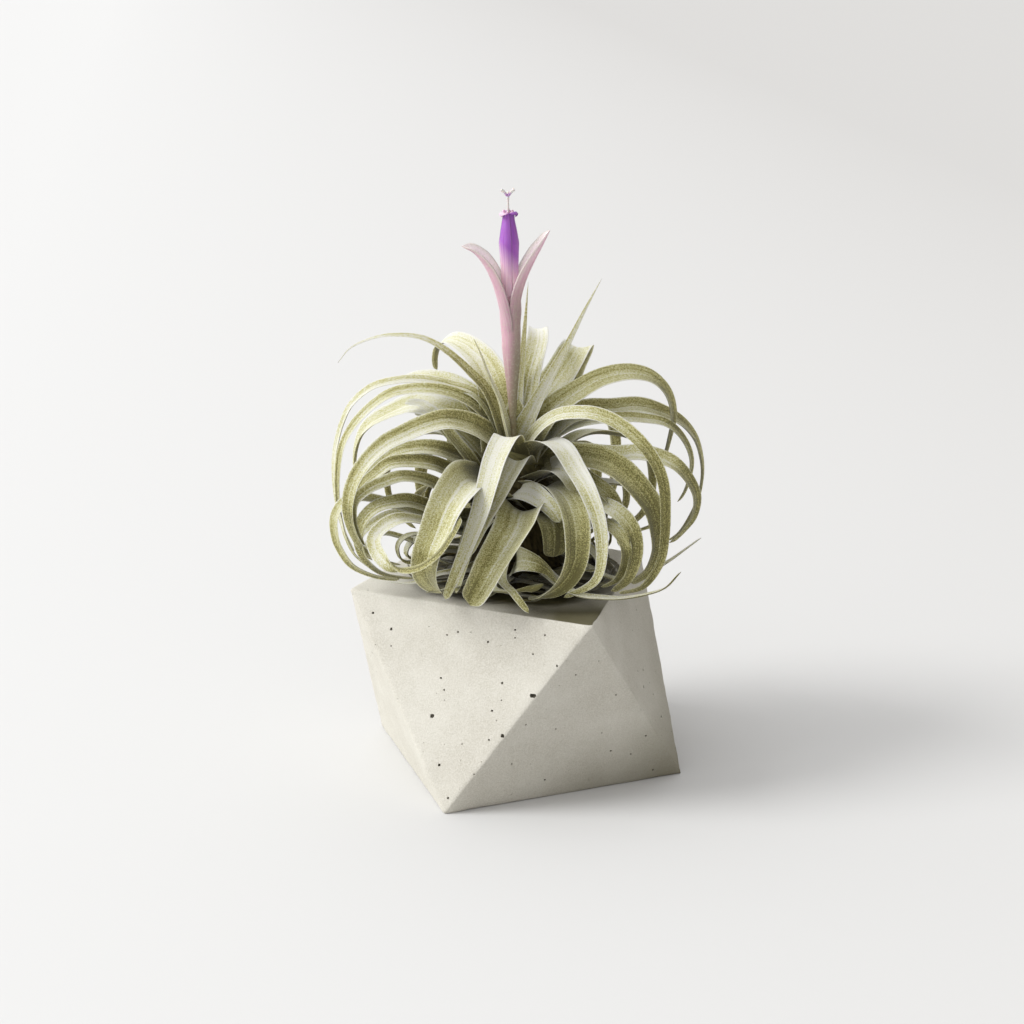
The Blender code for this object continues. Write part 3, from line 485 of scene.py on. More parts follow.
LEFT_LEAVES = (
    (7, 0.2, -45, -45, 0.03, ((-8, 0, 134), (-16, 1, 156), (-24, 1, 166), (-34, 2, 175), (-44, 3, 180),
     (-56, 3, 181), (-65, 4, 179), (-73, 5, 175), (-78, 5, 169))),
    (5.5, 0.2, -35, -35, 0.3, ((-8, 0, 134), (-20, 3, 154), (-32, 6, 159), (-45, 8, 161), (-56, 9, 160),
     (-65, 10, 157), (-73, 10, 150), (-77, 9, 142), (-79, 7, 135), (-80, 4, 129), (-80, 0, 121),
     (-79, -4, 113), (-77, -9, 107), (-75, -14, 101), (-71, -18, 94), (-64, -22, 89))),
    (7, 0.2, -40, -40, 0.25, ((-8, 0, 132), (-19, 1, 149), (-29, 1, 156), (-41, 0, 159), (-54, -1, 158),
     (-63, -2, 153), (-71, -3, 145), (-76, -4, 136), (-78, -5, 125), (-78, -6, 112), (-76, -7, 101),
     (-72, -8, 92))),
    (12.5, 0.2, -45, -35, 0.15, ((-8, -2, 132), (-20, -7, 143), (-27, -10, 147), (-34, -14, 149),
     (-42, -18, 148), (-51, -22, 145), (-58, -25, 142), (-65, -29, 136), (-70, -31, 128), (-72, -33, 119),
     (-71, -32, 110), (-67, -30, 101), (-60, -27, 95), (-52, -23, 91))),
    (7, 0.2, -30, -30, 0.4, ((-9, -2, 114), (-20, -8, 125), (-25, -8, 133), (-31, -5, 140), (-38, 0, 148),
     (-44, 6, 151), (-51, 14, 150))),
    (5.5, 0.2, -30, -30, 0.5, ((-9, -1, 112), (-18, -2, 121), (-23, -2, 128), (-29, -1, 135),
     (-35, 2, 141), (-40, 6, 145), (-47, 12, 146))),
    (11, 0.2, -40, -30, 0.25, ((-8, -1, 124), (-24, -4, 129), (-30, -5, 132), (-37, -7, 135),
     (-44, -8, 136), (-52, -10, 135), (-58, -11, 132), (-64, -12, 127), (-68, -13, 122), (-71, -14, 116),
     (-71, -15, 108))),
    (11, 0.2, -40, -30, 0.25, ((-8, -2, 116), (-24, -7, 122), (-32, -9, 126), (-39, -12, 130),
     (-48, -15, 132), (-56, -18, 132), (-62, -20, 128), (-67, -22, 124), (-70, -23, 118), (-71, -24, 111),
     (-69, -23, 104))),
    (10, 0.2, -40, -30, 0.25, ((-8, -2, 110), (-26, -10, 116), (-34, -14, 120), (-42, -18, 125),
     (-51, -23, 128), (-58, -27, 127), (-64, -30, 125), (-69, -32, 121), (-70, -33, 116), (-69, -32, 109),
     (-66, -31, 102))),
    (11, 0.2, -40, -30, 0.2, ((-8, -1, 101), (-30, -8, 106), (-40, -14, 112), (-48, -18, 116),
     (-54, -22, 117), (-61, -25, 116), (-66, -27, 112), (-68, -28, 107), (-68, -29, 101), (-65, -30, 95),
     (-58, -31, 90), (-46, -31, 88))),
    (6, 0.2, -35, -30, 0.6, ((-8, -2, 98), (-36, -12, 107), (-52, -18, 114), (-66, -22, 119),
     (-74, -24, 118), (-78, -24, 112), (-78, -25, 105), (-76, -26, 99), (-71, -29, 93), (-62, -33, 90),
     (-52, -35, 89))),
    (9, 0.2, -35, -30, 0.25, ((-8, -1, 96), (-32, -8, 102), (-43, -11, 106), (-52, -13, 109),
     (-58, -15, 109), (-64, -17, 106), (-68, -18, 102), (-68, -18, 97), (-64, -17, 91))),
    (8, 0.2, -30, -20, 0.45, ((-8, -2, 96), (-30, -14, 103), (-44, -28, 111), (-52, -36, 114),
     (-58, -40, 112), (-61, -44, 109), (-60, -48, 105), (-56, -53, 102), (-50, -57, 101), (-43, -60, 103),
     (-36, -60, 108), (-31, -57, 114), (-27, -51, 120))),
    (7, 0.2, -20, -20, 0.1, ((-8, -4, 90), (-24, -20, 88), (-36, -32, 90), (-46, -40, 89),
     (-55, -42, 90))),
    (6, 0.2, -20, -20, 0.4, ((-8, -2, 90), (-30, -8, 92), (-43, -10, 95), (-51, -13, 99), (-59, -16, 102),
     (-64, -20, 101), (-66, -24, 97))),
    (6, 0.15, 0, 0, 0.5, ((-8, -2, 94), (-34, -14, 98), (-42, -18, 102), (-49, -19, 102), (-53, -19, 98),
     (-52, -20, 93), (-48, -21, 92), (-45, -21, 95), (-47, -21, 98))),
)
FRONT_LEAVES = (
    (15.5, 0.14, 10, -10, 0.2, ((-6, -1, 112), (-6, -5, 128), (-7.5, -10, 139), (-9, -16, 142),
     (-13, -24, 136), (-16, -33, 128), (-19, -41, 119), (-23, -49, 110), (-28, -54, 99), (-33, -54, 87))),
    (20, 0.25, -40, 5, 0.35, ((-9, -4, 112), (-19, -16, 123), (-25, -26, 127), (-29, -36, 125),
     (-33, -45, 120), (-36, -51, 113), (-39, -55, 106), (-40, -54, 98), (-37, -48, 90), (-32, -43, 86))),
    (14, 0.13, -20, 60, 0.14, ((-4, -2, 118), (1, -6, 133), (6, -10, 139), (13, -18, 139), (19, -27, 132),
     (24, -36, 125), (28, -43, 115), (29, -48, 103), (26, -50, 93), (14, -49, 86))),
    (14, 0.12, 20, 55, 0.3, ((-6, -4, 108), (-6, -12, 117), (-3, -18, 120.5), (1, -23, 121.5),
     (5.5, -27, 120), (9.5, -30, 117), (13, -32, 112))),
    (16, 0.3, 15, 15, 0.5, ((-4, -2, 114), (7, -9, 125), (12, -15, 128.5), (16, -20, 127),
     (19, -23, 122))),
    (15, 0.28, 0, -10, 0.15, ((-5, -3, 118), (-5, -9, 128), (-5, -14, 132), (-6, -20, 131.5),
     (-9, -26, 127.5), (-13, -33, 121), (-18, -40, 113), (-23, -47, 103))),
)
LOW_LEAVES = (
    (21, 0.32, 0, 0, 0.4, ((-5, -3, 100), (-3, -14, 109), (-2, -22, 113), (-3, -28, 113), (-5, -34, 109),
     (-9, -41, 104), (-14, -48, 98), (-18, -53, 92), (-23, -56, 85))),
    (17, 0.2, -5, 0, 0.3, ((-4, -3, 110), (3.5, -11, 119), (11, -19, 121.5), (15.5, -26, 119),
     (18, -33, 114), (18.8, -40, 107.5), (18, -46, 99.5), (14, -49.5, 93), (7, -50, 88), (0, -46, 85))),
    (22, 0.15, 55, 75, 0.1, ((-6, -6, 84), (-5, -22, 91), (-2, -33, 96), (3, -39, 97), (8, -42, 95),
     (12, -45, 90))),
    (18, 0.1, 0, 0, 0.5, ((-4, -4, 100), (3, -16, 110), (8, -24, 112), (10, -29, 109), (10.5, -31, 104),
     (10, -31, 97))),
    (13, 0.2, -10, 0, 0.2, ((-10, -3, 104), (-18, -14, 107), (-24, -22, 99), (-27, -30, 91),
     (-29, -38, 84))),
    (8, 0.2, 0, 0, 0.2, ((-5, -8, 94), (12, -40, 88), (20, -50, 87), (27, -50, 86), (37, -48, 85),
     (47, -46, 86), (55, -43, 88), (61, -41, 94))),
    (6, 0.2, 0, 0, 0.35, ((-8, -6, 92), (-15, -40, 88), (-9, -49, 88), (-1, -52, 90), (6, -50, 92))),
    (7, 0.2, 0, 0, 0.3, ((-8, -6, 96), (-11, -42, 92), (-6, -54, 89), (0, -59, 83))),
    (6, 0.2, 0, 0, 0.1, ((-8, -4, 90), (-20, -24, 87), (-27, -34, 86), (-33, -42, 87), (-41, -46, 87))),
    (6, 0.2, 0, 0, 0.1, ((-3, -4, 92), (8, -28, 86), (18, -38, 84), (25, -42, 84))),
)
HOOP_SEED = 7
HOOPS = (  # number, first heading, sweep, stray, lowest root, spread, and the ranges of reach, rise and width
    (15, 28, 112, 0.3, 98, 34, (60, 74), (9, 15), (10, 13)),
    (15, 325, 250, 0.2, 94, 22, (34, 46), (5, 9), (9, 12)))
GOLDEN = 0.618  # share of a turn from each leaf to the next, which spreads their roots
STRAND_SEED = 4
OLD_STRANDS = 44
LEAF_SEED = 14023
GROUP_LIGHT_AND_SHADE = {  # painted light and shade for each group: lighter or darker than the angle to the window gives, and how much further inside, which paints more shade
    "leaves_young": (0.35, 0), "leaves_right": (-0.2, 0), "leaves_front": (0.08, 0), "leaves_low": (-0.2, 0),
    "leaves_within": (0.06, 0), "old_leaves": (-0.4, 0.6)}


def smooth_way(points, step):
    """The Catmull-Rom curve through the points, as points at even steps of its length, and these lengths."""
    way = np.asarray(points, float)
    padded = np.vstack([2 * way[0] - way[1], way, 2 * way[-1] - way[-2]])
    place = np.linspace(0, len(way) - 1, 60 * len(way))
    index = np.minimum(place.astype(int), len(way) - 2)
    f = (place - index)[:, None]
    a, b, c, d = (padded[index + k] for k in range(4))
    curve = 0.5 * (2 * b + (c - a) * f + (2 * a - 5 * b + 4 * c - d) * f**2 + (3 * b - a - 3 * c + d) * f**3)
    length = np.concatenate([[0], np.cumsum(np.linalg.norm(np.diff(curve, axis=0), axis=1))])
    even = np.linspace(0, length[-1], max(24, round(length[-1] / step)))
    return np.stack([np.interp(even, length, curve[:, axis]) for axis in range(3)], axis=1), even


def unit(vectors):
    """Each vector scaled to length one."""
    return vectors / np.linalg.norm(vectors, axis=-1)[..., None]


def strap_frame(way, rolls, axis_x):
    """Directions across and out of the face of a strap that arches away from an upright line.

    Across starts level, at right angles to the heading of the way's farthest point, and is rolled about it.
    """
    along = unit(np.gradient(way, axis=0))
    reach = way[:, :2] - (axis_x, 0)
    far = reach[np.argmax(np.linalg.norm(reach, axis=1))]
    heading = math.atan2(far[1], far[0])
    across = np.array([-math.sin(heading), math.cos(heading), 0]) * np.ones((len(way), 1))
    across = unit(across - (across * along).sum(axis=1)[:, None] * along)
    face = np.cross(along, across)
    roll = np.radians(np.linspace(*rolls, len(way)))[:, None]
    return across * np.cos(roll) + face * np.sin(roll), face * np.cos(roll) - across * np.sin(roll)


def both_skins(over):
    """Places v across a strap, along its upper skin and back along its lower one, and for each how far under
    it lies: 0 above, 1 below and 0.5 on the edges."""
    under = np.repeat([0.0, 1.0], (len(over), len(over) - 2))
    under[[0, len(over) - 1]] = 0.5
    return np.concatenate([over, over[-2:0:-1]]), under


def leaf_taper(length, tip):
    """A leaf's width along its length: tip + (1 - tip)(1 - t)^(1.2 - 1.5 min(tip, 0.4)), on a broader sheath.
    The end is rounded by the square root of 1 - s^2, where s goes from 0 to 1 over the last TIP_LENGTH."""
    t = length / length[-1]
    s = (1 - (length[-1] - length) / TIP_LENGTH).clip(0, 0.995)
    sheath = 1 + SHEATH_SHARE * np.exp(-(length / SHEATH_LENGTH) ** 2)
    return (tip + (1 - tip) * (1 - t) ** (1.2 - 1.5 * min(tip, 0.4))) * sheath * np.sqrt(1 - s ** 2)


def depth_inside(points):
    """How deep points lie in the head of leaves, from 0 outside to 1 at the stem: 1 - r / R, where r is how
    far they are from the stem's line and R the head's reach at that height and heading."""
    x, y, z = np.moveaxis(points, -1, 0)
    r = np.hypot(x - STEM_X, y)
    ahead = (-y / r).clip(0, 1) ** 2
    return 1 - r / ((1 - ahead) * np.interp(z, *HEAD_REACH) + ahead * np.interp(z, *HEAD_REACH_AHEAD))


def leaf(row, seed):
    """One leaf's skin and its marks: place across (-1 to 1), mm along, tint, painted light, depth inside.

    With v from -1 to 1 across and half the width h, the fold is h v across and 2 e h |v|^1.5 out of the face,
    where e is the row's edge height. Three ridges run along it. The skins lie half of LEAF_THICKNESS either
    side. The painted light is strongest above, where the leaf faces the light: the dot product with 0.4 of
    its own normal and 0.6 of the whole strap's. Below it is 0.2 less.
    """
    width, edge, first, last, tip, points = row
    chance = np.random.default_rng(seed)
    way, length = smooth_way(points, LEAF_RINGS_EVERY)
    across, face = (direction[:, None] for direction in strap_frame(way, (first, last), STEM_X))
    t = (length / length[-1])[:, None]
    half = width * leaf_taper(length, tip)[:, None] / 2
    v, under = both_skins(np.sin(np.linspace(-1, 1, LEAF_PLACES) * math.pi / 2))
    wave = ripple(stacked(0.7 * length, 9.0 * seed), 22, seed)[:, None]
    fold = 2 * edge * half * (np.abs(v) ** 1.5 + 0.12 * wave * v * np.abs(v))
    slope = 3 * edge * np.sign(v) * np.abs(v) ** 0.5
    ridge = LEAF_RIDGE * np.cos(2.2 * math.pi * v + 0.5 * wave) * np.minimum(1, half / 3)
    thick = LEAF_THICKNESS * (0.25 + 0.75 * (1 - t) ** 0.6) * (1 - 0.85 * v**2) * (0.5 - under)
    thick = thick + ridge * (1 - v**2)
    tilt = np.sqrt(1 + slope**2)
    skin = way[:, None] + (half * v - thick * slope / tilt)[..., None] * across
    skin = skin + (fold + thick / tilt)[..., None] * face
    normal = (face - slope[..., None] * across) / tilt[..., None]
    # painted light: paler where the leaf faces the light, and less on the lower skin
    coat_and_painted_light = (1 - under) * ((0.4 * normal + 0.6 * face) @ LIT_SIDE).clip(0, 0.7) - 0.2 * under
    return skin, stacked(v, length[:, None], chance.uniform(0, 1), coat_and_painted_light, depth_inside(skin))


def hidden_leaves():
    """Rows for leaves that arch in upright planes, up and out from the stem, over, and down to curled tips:
    hoops behind the stem and shorter ones inside, spread by a seeded rule."""
    chance = np.random.default_rng(HOOP_SEED)
    rows = []
    for number, first, sweep, stray, lowest, spread, reaches, rises, widths in HOOPS:
        for k in range(number):
            turn = math.radians(first + sweep * (k + chance.uniform(-stray, stray)) / (number - 1))
            root = lowest + spread * (k * GOLDEN % 1)
            reach, rise, drop = chance.uniform(*reaches), chance.uniform(*rises), root - (POT_HEIGHT + 9)
            shape = ((0, -6), (0.42, rise), (0.72, 0.95 * rise), (0.94, 0.35 * rise), (1, -0.35 * drop),
                     (0.95, -0.75 * drop), (0.78, -drop))
            way = [(STEM_X + share * reach * math.cos(turn), share * reach * math.sin(turn), root + height)
                   for share, height in shape]
            rows.append((chance.uniform(*widths), 0.2, *chance.uniform(-15, 15, 2), 0.25, way))
    return rows


def old_strands():
    """Rows for the shrivelled old leaves that lie round the foot of the plant, spread by a seeded rule."""
    chance = np.random.default_rng(STRAND_SEED)
    rows = []
    for heading in np.radians(chance.uniform(150, 390, OLD_STRANDS)):
        drift = chance.uniform(0.4, 1.1) * chance.choice((-1, 1))
        lift, reach = chance.uniform(1, 5), chance.uniform(38, 47)
        shape = ((0.5, 4, 0), (0.7, 3 + lift, 0.2), (0.88, 3 + 0.5 * lift, 0.5), (0.97, 3, 0.8),
                 (1, 3 + 0.6 * lift, 1.1))
        way = [(STEM_X + share * reach * math.cos(heading + drift * turn),
                share * reach * math.sin(heading + drift * turn), POT_HEIGHT + rise)
               for share, rise, turn in shape]
        rows.append((chance.uniform(2, 3.5), 0.2, *chance.uniform(-40, 40, 2), 0.35, way))
    return rows


def lines_along(add, across, along, number, stretch, kind=0.0):
    """Lines along a strap: noise with the given number of lumps across half of it, drawn out along it. Straps
    of another kind get other lines."""
    there = add("CombineXYZ", add("Math", across, number, operation="MULTIPLY"),
                add("Math", along, stretch, operation="MULTIPLY"), kind)
    return add("TexNoise", {"Vector": there, "Scale": 1.0})


def silver_scaled_leaf():
    """A living leaf under a layer of silver scales: dull and powdery, with a white bloom, pale where the
    scales lie thick and olive below them. Some light passes through it.

    The scales lie thickest along the edges, the fold and in stripes 1 to 4 mm wide. They are 0.1 to
    0.2 mm, which is drawn at about 0.5 mm to show. Painted light makes the leaf paler where it faces the
    light, and painted shade makes it darker and browner far inside the plant, low down.
    """
    add, where, finish = new_material(
        "silver-scaled leaf", 0.72, 0.25, Sheen_Weight=0.4, Sheen_Roughness=0.55,
        Sheen_Tint=linear("#F1F2F1"), Subsurface_Weight=0.35, Subsurface_Scale=0.003,
        Subsurface_Radius=(1.0, 0.95, 0.75))
    across, along, tint, painted_light_mark, inside = (
        add("Attribute", output="Fac", attribute_name=letter) for letter in "abcde")
    off_fold = add("Math", across, operation="ABSOLUTE")
    margin = add("MapRange", off_fold, 0.88, 0.97)
    crease = add("MapRange", off_fold, 0.02, 0.1, 1, 0)
    bands, streaks = (
        add("MapRange", lines_along(add, across, along, number, 0.012,
                                    add("Math", tint, 40 + number, operation="MULTIPLY")), low, high)
        for number, low, high in ((1.6, 0.4, 0.6), (6, 0.35, 0.65)))
    scales = lumps(add, where, 0.5, 1, 0.34, 0.66)
    patches = lumps(add, where, 18, 2, 0.35, 0.65)
    low_down = add("MapRange", add("SeparateXYZ", where, output=2), 0.128, 0.148, 1, 0)
    # painted shade: far inside the plant and low down the leaf is darker
    deep = add("Math", add("MapRange", inside, 0.3, 0.9), low_down, operation="MULTIPLY")
    # the scales' pattern, plus painted light where the leaf faces the light and painted shade far inside
    coat_and_painted_light = -0.41
    for pattern, weight in ((bands, 0.22), (streaks, 0.2), (scales, 0.42), (margin, 0.4), (crease, 0.22),
                            (patches, 0.14), (painted_light_mark, 0.8), (tint, 0.24), (deep, -0.3)):
        coat_and_painted_light = add("Math", pattern, weight, coat_and_painted_light, operation="MULTIPLY_ADD")
    ramp = add("ValToRGB", coat_and_painted_light).node
    stops = ((0.0, "#5C582C"), (0.28, "#938E55"), (0.52, "#B2AF82"), (0.74, "#C2C1AA"), (0.95, "#C8C7BE"))
    for _ in stops[2:]:
        ramp.color_ramp.elements.new(0.5)
    for element, (place, code) in zip(ramp.color_ramp.elements, stops):
        element.position, element.color = place, linear(code)
    # painted shade: browner far inside the plant
    painted_depth_shade = add("Math", deep, 0.92, operation="MULTIPLY")
    colour = layered(add, ramp.outputs[0], ((painted_depth_shade, "#443F22"),))
    rough = add("Math", scales, 0.5, operation="MULTIPLY")
    return finish(colour, add("Math", streaks, 0.6, rough, operation="MULTIPLY_ADD"), 0.5, 0.00025)


leaf_skin = silver_scaled_leaf()
leaf_groups = {
    "leaves_young": YOUNG_LEAVES, "leaves_upright": UPRIGHT_LEAVES, "leaves_right": RIGHT_LEAVES,
    "leaves_left": LEFT_LEAVES, "leaves_front": FRONT_LEAVES, "leaves_low": LOW_LEAVES,
    "leaves_within": hidden_leaves(), "old_leaves": old_strands()}
for g, (group, rows) in enumerate(leaf_groups.items()):
    grown = [leaf(row, LEAF_SEED + 100 * g + k) for k, row in enumerate(rows)]
    for _, marks in grown:
        # painted light and shade for the whole group
        marks[..., 3:] += GROUP_LIGHT_AND_SHADE.get(group, (0, 0))
    leaves = new_piece(group, grown, leaf_skin)
    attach(leaves, "root")
    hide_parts("leaf_rosette")


# The flower stands on a stalk that rises through the middle of the leaves and widens upwards. Two pink
# bracts wrap it and the foot of the petals like a split sheath, and their tips bend outwards.

SCAPE_FOOT = 138.0
SCAPE_LEAN = -1.3
SCAPE_PROFILE = ((1.3, 0), (1.4, 10), (2.2, 21), (3.0, 29), (3.5, 34), (3.8, 41), (4.1, 48), (4.4, 54),
                 (4.4, 57), (4.1, 59), (3.3, 60.5))
SCAPE_RINGS, SCAPE_SIDES = 90, 48
LEFT_BRACT = ((-2.2, -0.8, 40), (-3.4, -1.2, 50), (-5.3, -1.8, 60), (-7.1, -2.2, 66.5), (-9.9, -2.5, 73),
              (-14.0, -2.5, 78.4), (-18.8, -2.5, 81))
RIGHT_BRACT = ((2.2, -0.8, 42), (3.2, -1.2, 52), (4.5, -1.8, 60), (6.6, -2.2, 67), (9.8, -2.5, 74),
               (13.2, -2.5, 80.4), (16.4, -2.5, 86.6))
BRACT_PLACES = 25  # across each of its two skins
BRACT_BEND = ((0, 0.3, 0.42, 0.7, 1), (100, 92, 84, 84, 60))  # shares of its length, and degrees there
BRACT_GIRTH = ((0, 0.2, 0.42, 0.6, 0.8, 0.95, 1), (4.4, 6.0, 7.0, 6.9, 5.6, 3.0, 0.3))


def on_stalk(points):
    """Points measured from the stalk's foot, leaned about the y axis and moved to their place."""
    lean = math.radians(SCAPE_LEAN)
    x, y, z = np.moveaxis(points, -1, 0)
    return stacked(STEM_X + x * math.cos(lean) + z * math.sin(lean), y,
                   SCAPE_FOOT + z * math.cos(lean) - x * math.sin(lean))


def full_turn(sides):
    """The angles of even steps round a circle."""
    return 2 * math.pi * np.arange(sides) / sides


def stalk_rings():
    """The stalk's profile turned about its line, uneven by 2 percent, with marks like a bract's: the cosine
    of three times the heading, the height, 1 as on the outside, and 0."""
    r, z = along_profile(SCAPE_PROFILE, SCAPE_RINGS)
    turn = full_turn(SCAPE_SIDES)
    rings = stacked(r * np.cos(turn), r * np.sin(turn), z)
    rings *= 1 + 0.02 * ripple(rings, 6, 5)[..., None] * np.array([1, 1, 0])
    x, y, z = np.moveaxis(rings, -1, 0)
    return on_stalk(rings), stacked(np.cos(3 * np.arctan2(y, x)), z, 1.0, 0.0)


def bract_rings(points, roll):
    """A bract: with v from -1 to 1, half-angle A and half-girth s, an arc R sin(vA) across and R(1 - cos(vA))
    in, where R is s / A. The half-angle is 100 degrees where it wraps the stalk and 60 at the tip."""
    way, length = smooth_way(points, 0.9)
    across, face = (direction[:, None] for direction in strap_frame(way, (0, roll), 0.0))
    t = (length / length[-1])[:, None]
    bend = np.radians(np.interp(t, *BRACT_BEND))
    radius = np.interp(t, *BRACT_GIRTH) / bend
    v, under = both_skins(np.linspace(-1, 1, BRACT_PLACES))
    thick = (0.55 - 0.25 * t) * (1 - 0.8 * v**2) * (0.5 - under)
    thick = thick + 0.04 * np.cos(12 * math.pi * v) * (1 - v**2)
    out = (radius - thick)[..., None]
    turn = (v * bend)[..., None]
    skin = way[:, None] + out * np.sin(turn) * across + (radius[..., None] - out * np.cos(turn)) * face
    return on_stalk(skin), stacked(v, length[:, None], under, t)


def pink_bract():
    """Living bract tissue: satin, faintly veined lengthwise every 0.7 mm, and pink. It is paler inside,
    dusted grey at the upper edges, and greenish at the foot of the stalk. Low on its right side the stalk
    and the right bract are tinted greyish olive as painted shade."""
    add, where, finish = new_material("pink bract", 0.5, 0.35, Subsurface_Weight=0.3,
                                      Subsurface_Scale=0.003, Subsurface_Radius=(1.0, 0.8, 0.9))
    across, along, under, share = (add("Attribute", output="Fac", attribute_name=letter) for letter in "abcd")
    x, _, z = (add("SeparateXYZ", where, output=axis) for axis in range(3))
    veins = add("MapRange", lines_along(add, across, along, 9, 0.05), 0.35, 0.65)
    inner = add("MapRange", under, 0, 1, 0.9, 0)
    # painted shade: the right side, low down, is tinted greyish olive
    right_shade_tint = add("Math", add("MapRange", z, 0.172, 0.212, 0.85, 0), add("MapRange", x, -0.0078, -0.005),
                operation="MULTIPLY")
    foot = add("MapRange", z, 0.150, 0.18, 0.85, 0)
    off_middle = add("Math", across, operation="ABSOLUTE")
    rim = add("Math", add("MapRange", off_middle, 0.7, 0.97, 0, 0.6), add("MapRange", share, 0.45, 0.6),
              operation="MULTIPLY")
    dusted = add("Math", lumps(add, where, 0.9, 1, 0.5, 0.68), 0.3, rim, operation="MULTIPLY_ADD")
    colour = layered(add, linear("#C290A4"), (
        (veins, "#CDABB3"), (inner, "#F4E7E6"), (right_shade_tint, "#8F8872"), (foot, "#827C5C"), (dusted, "#BFBDA4")))
    return finish(colour, veins, 0.35, 0.00015)


bract_skin = pink_bract()
stalk = new_piece("flower_stalk", [stalk_rings()], bract_skin)
bracts = new_piece("bracts", [bract_rings(LEFT_BRACT, -22), bract_rings(RIGHT_BRACT, 22)], bract_skin)
for piece in (stalk, bracts):
    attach(piece, "root")
    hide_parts("flower_scape")


# The petals are three thin purple straps, rolled round each other into a tube, with rounded tips that curl
# outwards at its mouth.

TUBE_PROFILE = ((3.1, 50), (3.2, 58), (3.3, 66), (3.4, 71.6), (3.6, 76), (3.9, 81.6), (3.1, 86.7), (2.3, 91),
                (2.2, 93.2))
PETAL_HEADINGS = (215, 335, 95)
PETAL_HALF_TURN = 74.0
PETAL_PLACES = 21  # across each of its two skins
PETAL_RINGS, CURL_RINGS = 60, 14
TIP_CURL = (0.8, 250.0)  # radius of the curl, and how far it turns


def petal_rings(heading):
    """A petal: with v from -1 to 1 its heading is H + 74 v and its radius that of the tube plus 0.2 v, so
    that one edge lies over the next petal. At the mouth it turns outwards on a small circle and narrows."""
    radius, height = np.array(TUBE_PROFILE, float).T
    curl, far = TIP_CURL
    rise = np.linspace(height[0], height[-1], PETAL_RINGS)
    rise = np.append(rise, np.full(CURL_RINGS, height[-1]))[:, None]
    turn = np.append(np.zeros(PETAL_RINGS), np.linspace(0, far, CURL_RINGS + 1)[1:])
    turn = np.radians(turn)[:, None]
    v, under = both_skins(np.linspace(-1, 1, PETAL_PLACES))
    spread = np.radians(heading + PETAL_HALF_TURN * v * np.cos(0.42 * turn))
    thick = 0.34 * (1 - 0.7 * v**2) * (under - 0.5) * (1 - 0.1 * turn)
    thick = thick + 0.05 * np.cos(7 * math.pi * v) * (1 - v**2)
    r = np.interp(rise, height, radius) + 0.2 * v + curl * (1 - np.cos(turn)) + thick * np.cos(turn)
    z = rise + curl * np.sin(turn) + thick * np.sin(turn) - 0.35 * v**2 * np.sin(np.minimum(turn, 1.6))
    return on_stalk(stacked(r * np.cos(spread), r * np.sin(spread), z)), stacked(v, rise, turn / 3.6)


def purple_petal():
    """Petal tissue: thin, satin and slightly see-through, violet above and washed out to pink at the foot,
    with fine lengthwise veins and pale pink at the curled tips of the left side."""
    add, where, finish = new_material("purple petal", 0.45, 0.35, Subsurface_Weight=0.1,
                                      Subsurface_Scale=0.001, Sheen_Weight=0.1)
    across, along, curled = (add("Attribute", output="Fac", attribute_name=letter) for letter in "abc")
    x, _, z = (add("SeparateXYZ", where, output=axis) for axis in range(3))
    veins = add("MapRange", lines_along(add, across, along, 8, 0.05), 0.35, 0.65)
    slanted = add("Math", x, 1.05, z, operation="MULTIPLY_ADD")
    violet = add("MapRange", slanted, 0.1985, 0.2095)
    pale = add("Math", add("MapRange", curled, 0.1, 0.5, 0, 0.75), add("MapRange", x, -0.0095, -0.0075, 1, 0),
               operation="MULTIPLY")
    pink = layered(add, linear("#DDB4C9"), ((veins, "#EFD2DB"),))
    purple = layered(add, linear("#9049AB"), ((veins, "#9F62B6"),))
    colour = add("Mix", {0: violet, 6: pink, 7: purple}, output=2, data_type="RGBA")
    return finish(layered(add, colour, ((pale, "#EBCFD8"),)), veins, 0.3, 0.0001)


petals = new_piece("petals", [petal_rings(heading) for heading in PETAL_HEADINGS], purple_petal())
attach(petals, "root")
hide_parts("corolla")


# Six stamens stand in the mouth of the tube. Each is a white thread with a small pink-white pollen sac.

STAMENS = 6
STAMEN_SIDES = 12
THREAD_RADIUS, THREAD_LENGTH = 0.25, 8
ANTHER_RING = 1.9
ANTHER_LENGTH = 2.2
ANTHER_SWELL = 0.42


def stamen_rings(k):
    """A thread of radius 0.25 from inside the tube, which swells to an egg, 0.25 + 0.42 sin(pi s)^0.7, at its
    head, where s goes from 0 to 1."""
    head = TUBE_PROFILE[-1][1] - 0.8 + 0.5 * math.sin(2.4 * k)
    thread = np.linspace(head - THREAD_LENGTH, head, 10)
    height = np.append(thread, head + ANTHER_LENGTH * np.linspace(0.06, 1, 16))[:, None]
    share = ((height - head) / ANTHER_LENGTH).clip(0, 1)
    radius = THREAD_RADIUS + ANTHER_SWELL * np.sin(math.pi * share).clip(0) ** 0.7
    radius = radius * np.where(share > 0.97, 0.4, 1)
    turn = full_turn(STAMEN_SIDES)
    lean, heading = ANTHER_RING * (0.8 + 0.2 * share), 1.05 * k + 0.4
    return on_stalk(stacked(lean * math.cos(heading) + radius * np.cos(turn),
                            lean * math.sin(heading) + radius * np.sin(turn), height))


def pollen_sac():
    """A ripe anther: powdery, pale pink with white grains 0.2 mm apart, drawn at 0.5 mm."""
    add, where, finish = new_material("pollen sac", 0.85, 0.2)
    grains = lumps(add, where, 0.5, 1, 0.4, 0.6)
    return finish(layered(add, linear("#C98BB5"), ((grains, "#F1DFE2"),)), grains, 0.6, 0.0001)


stamens = new_piece("anthers", [(stamen_rings(k), None) for k in range(STAMENS)], pollen_sac())
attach(stamens, "root")
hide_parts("stamens")


# The style is a single white thread through the middle of the tube. It ends in a stigma of three small
# lobes, spread like a fork, purple where they part and white at their tips.

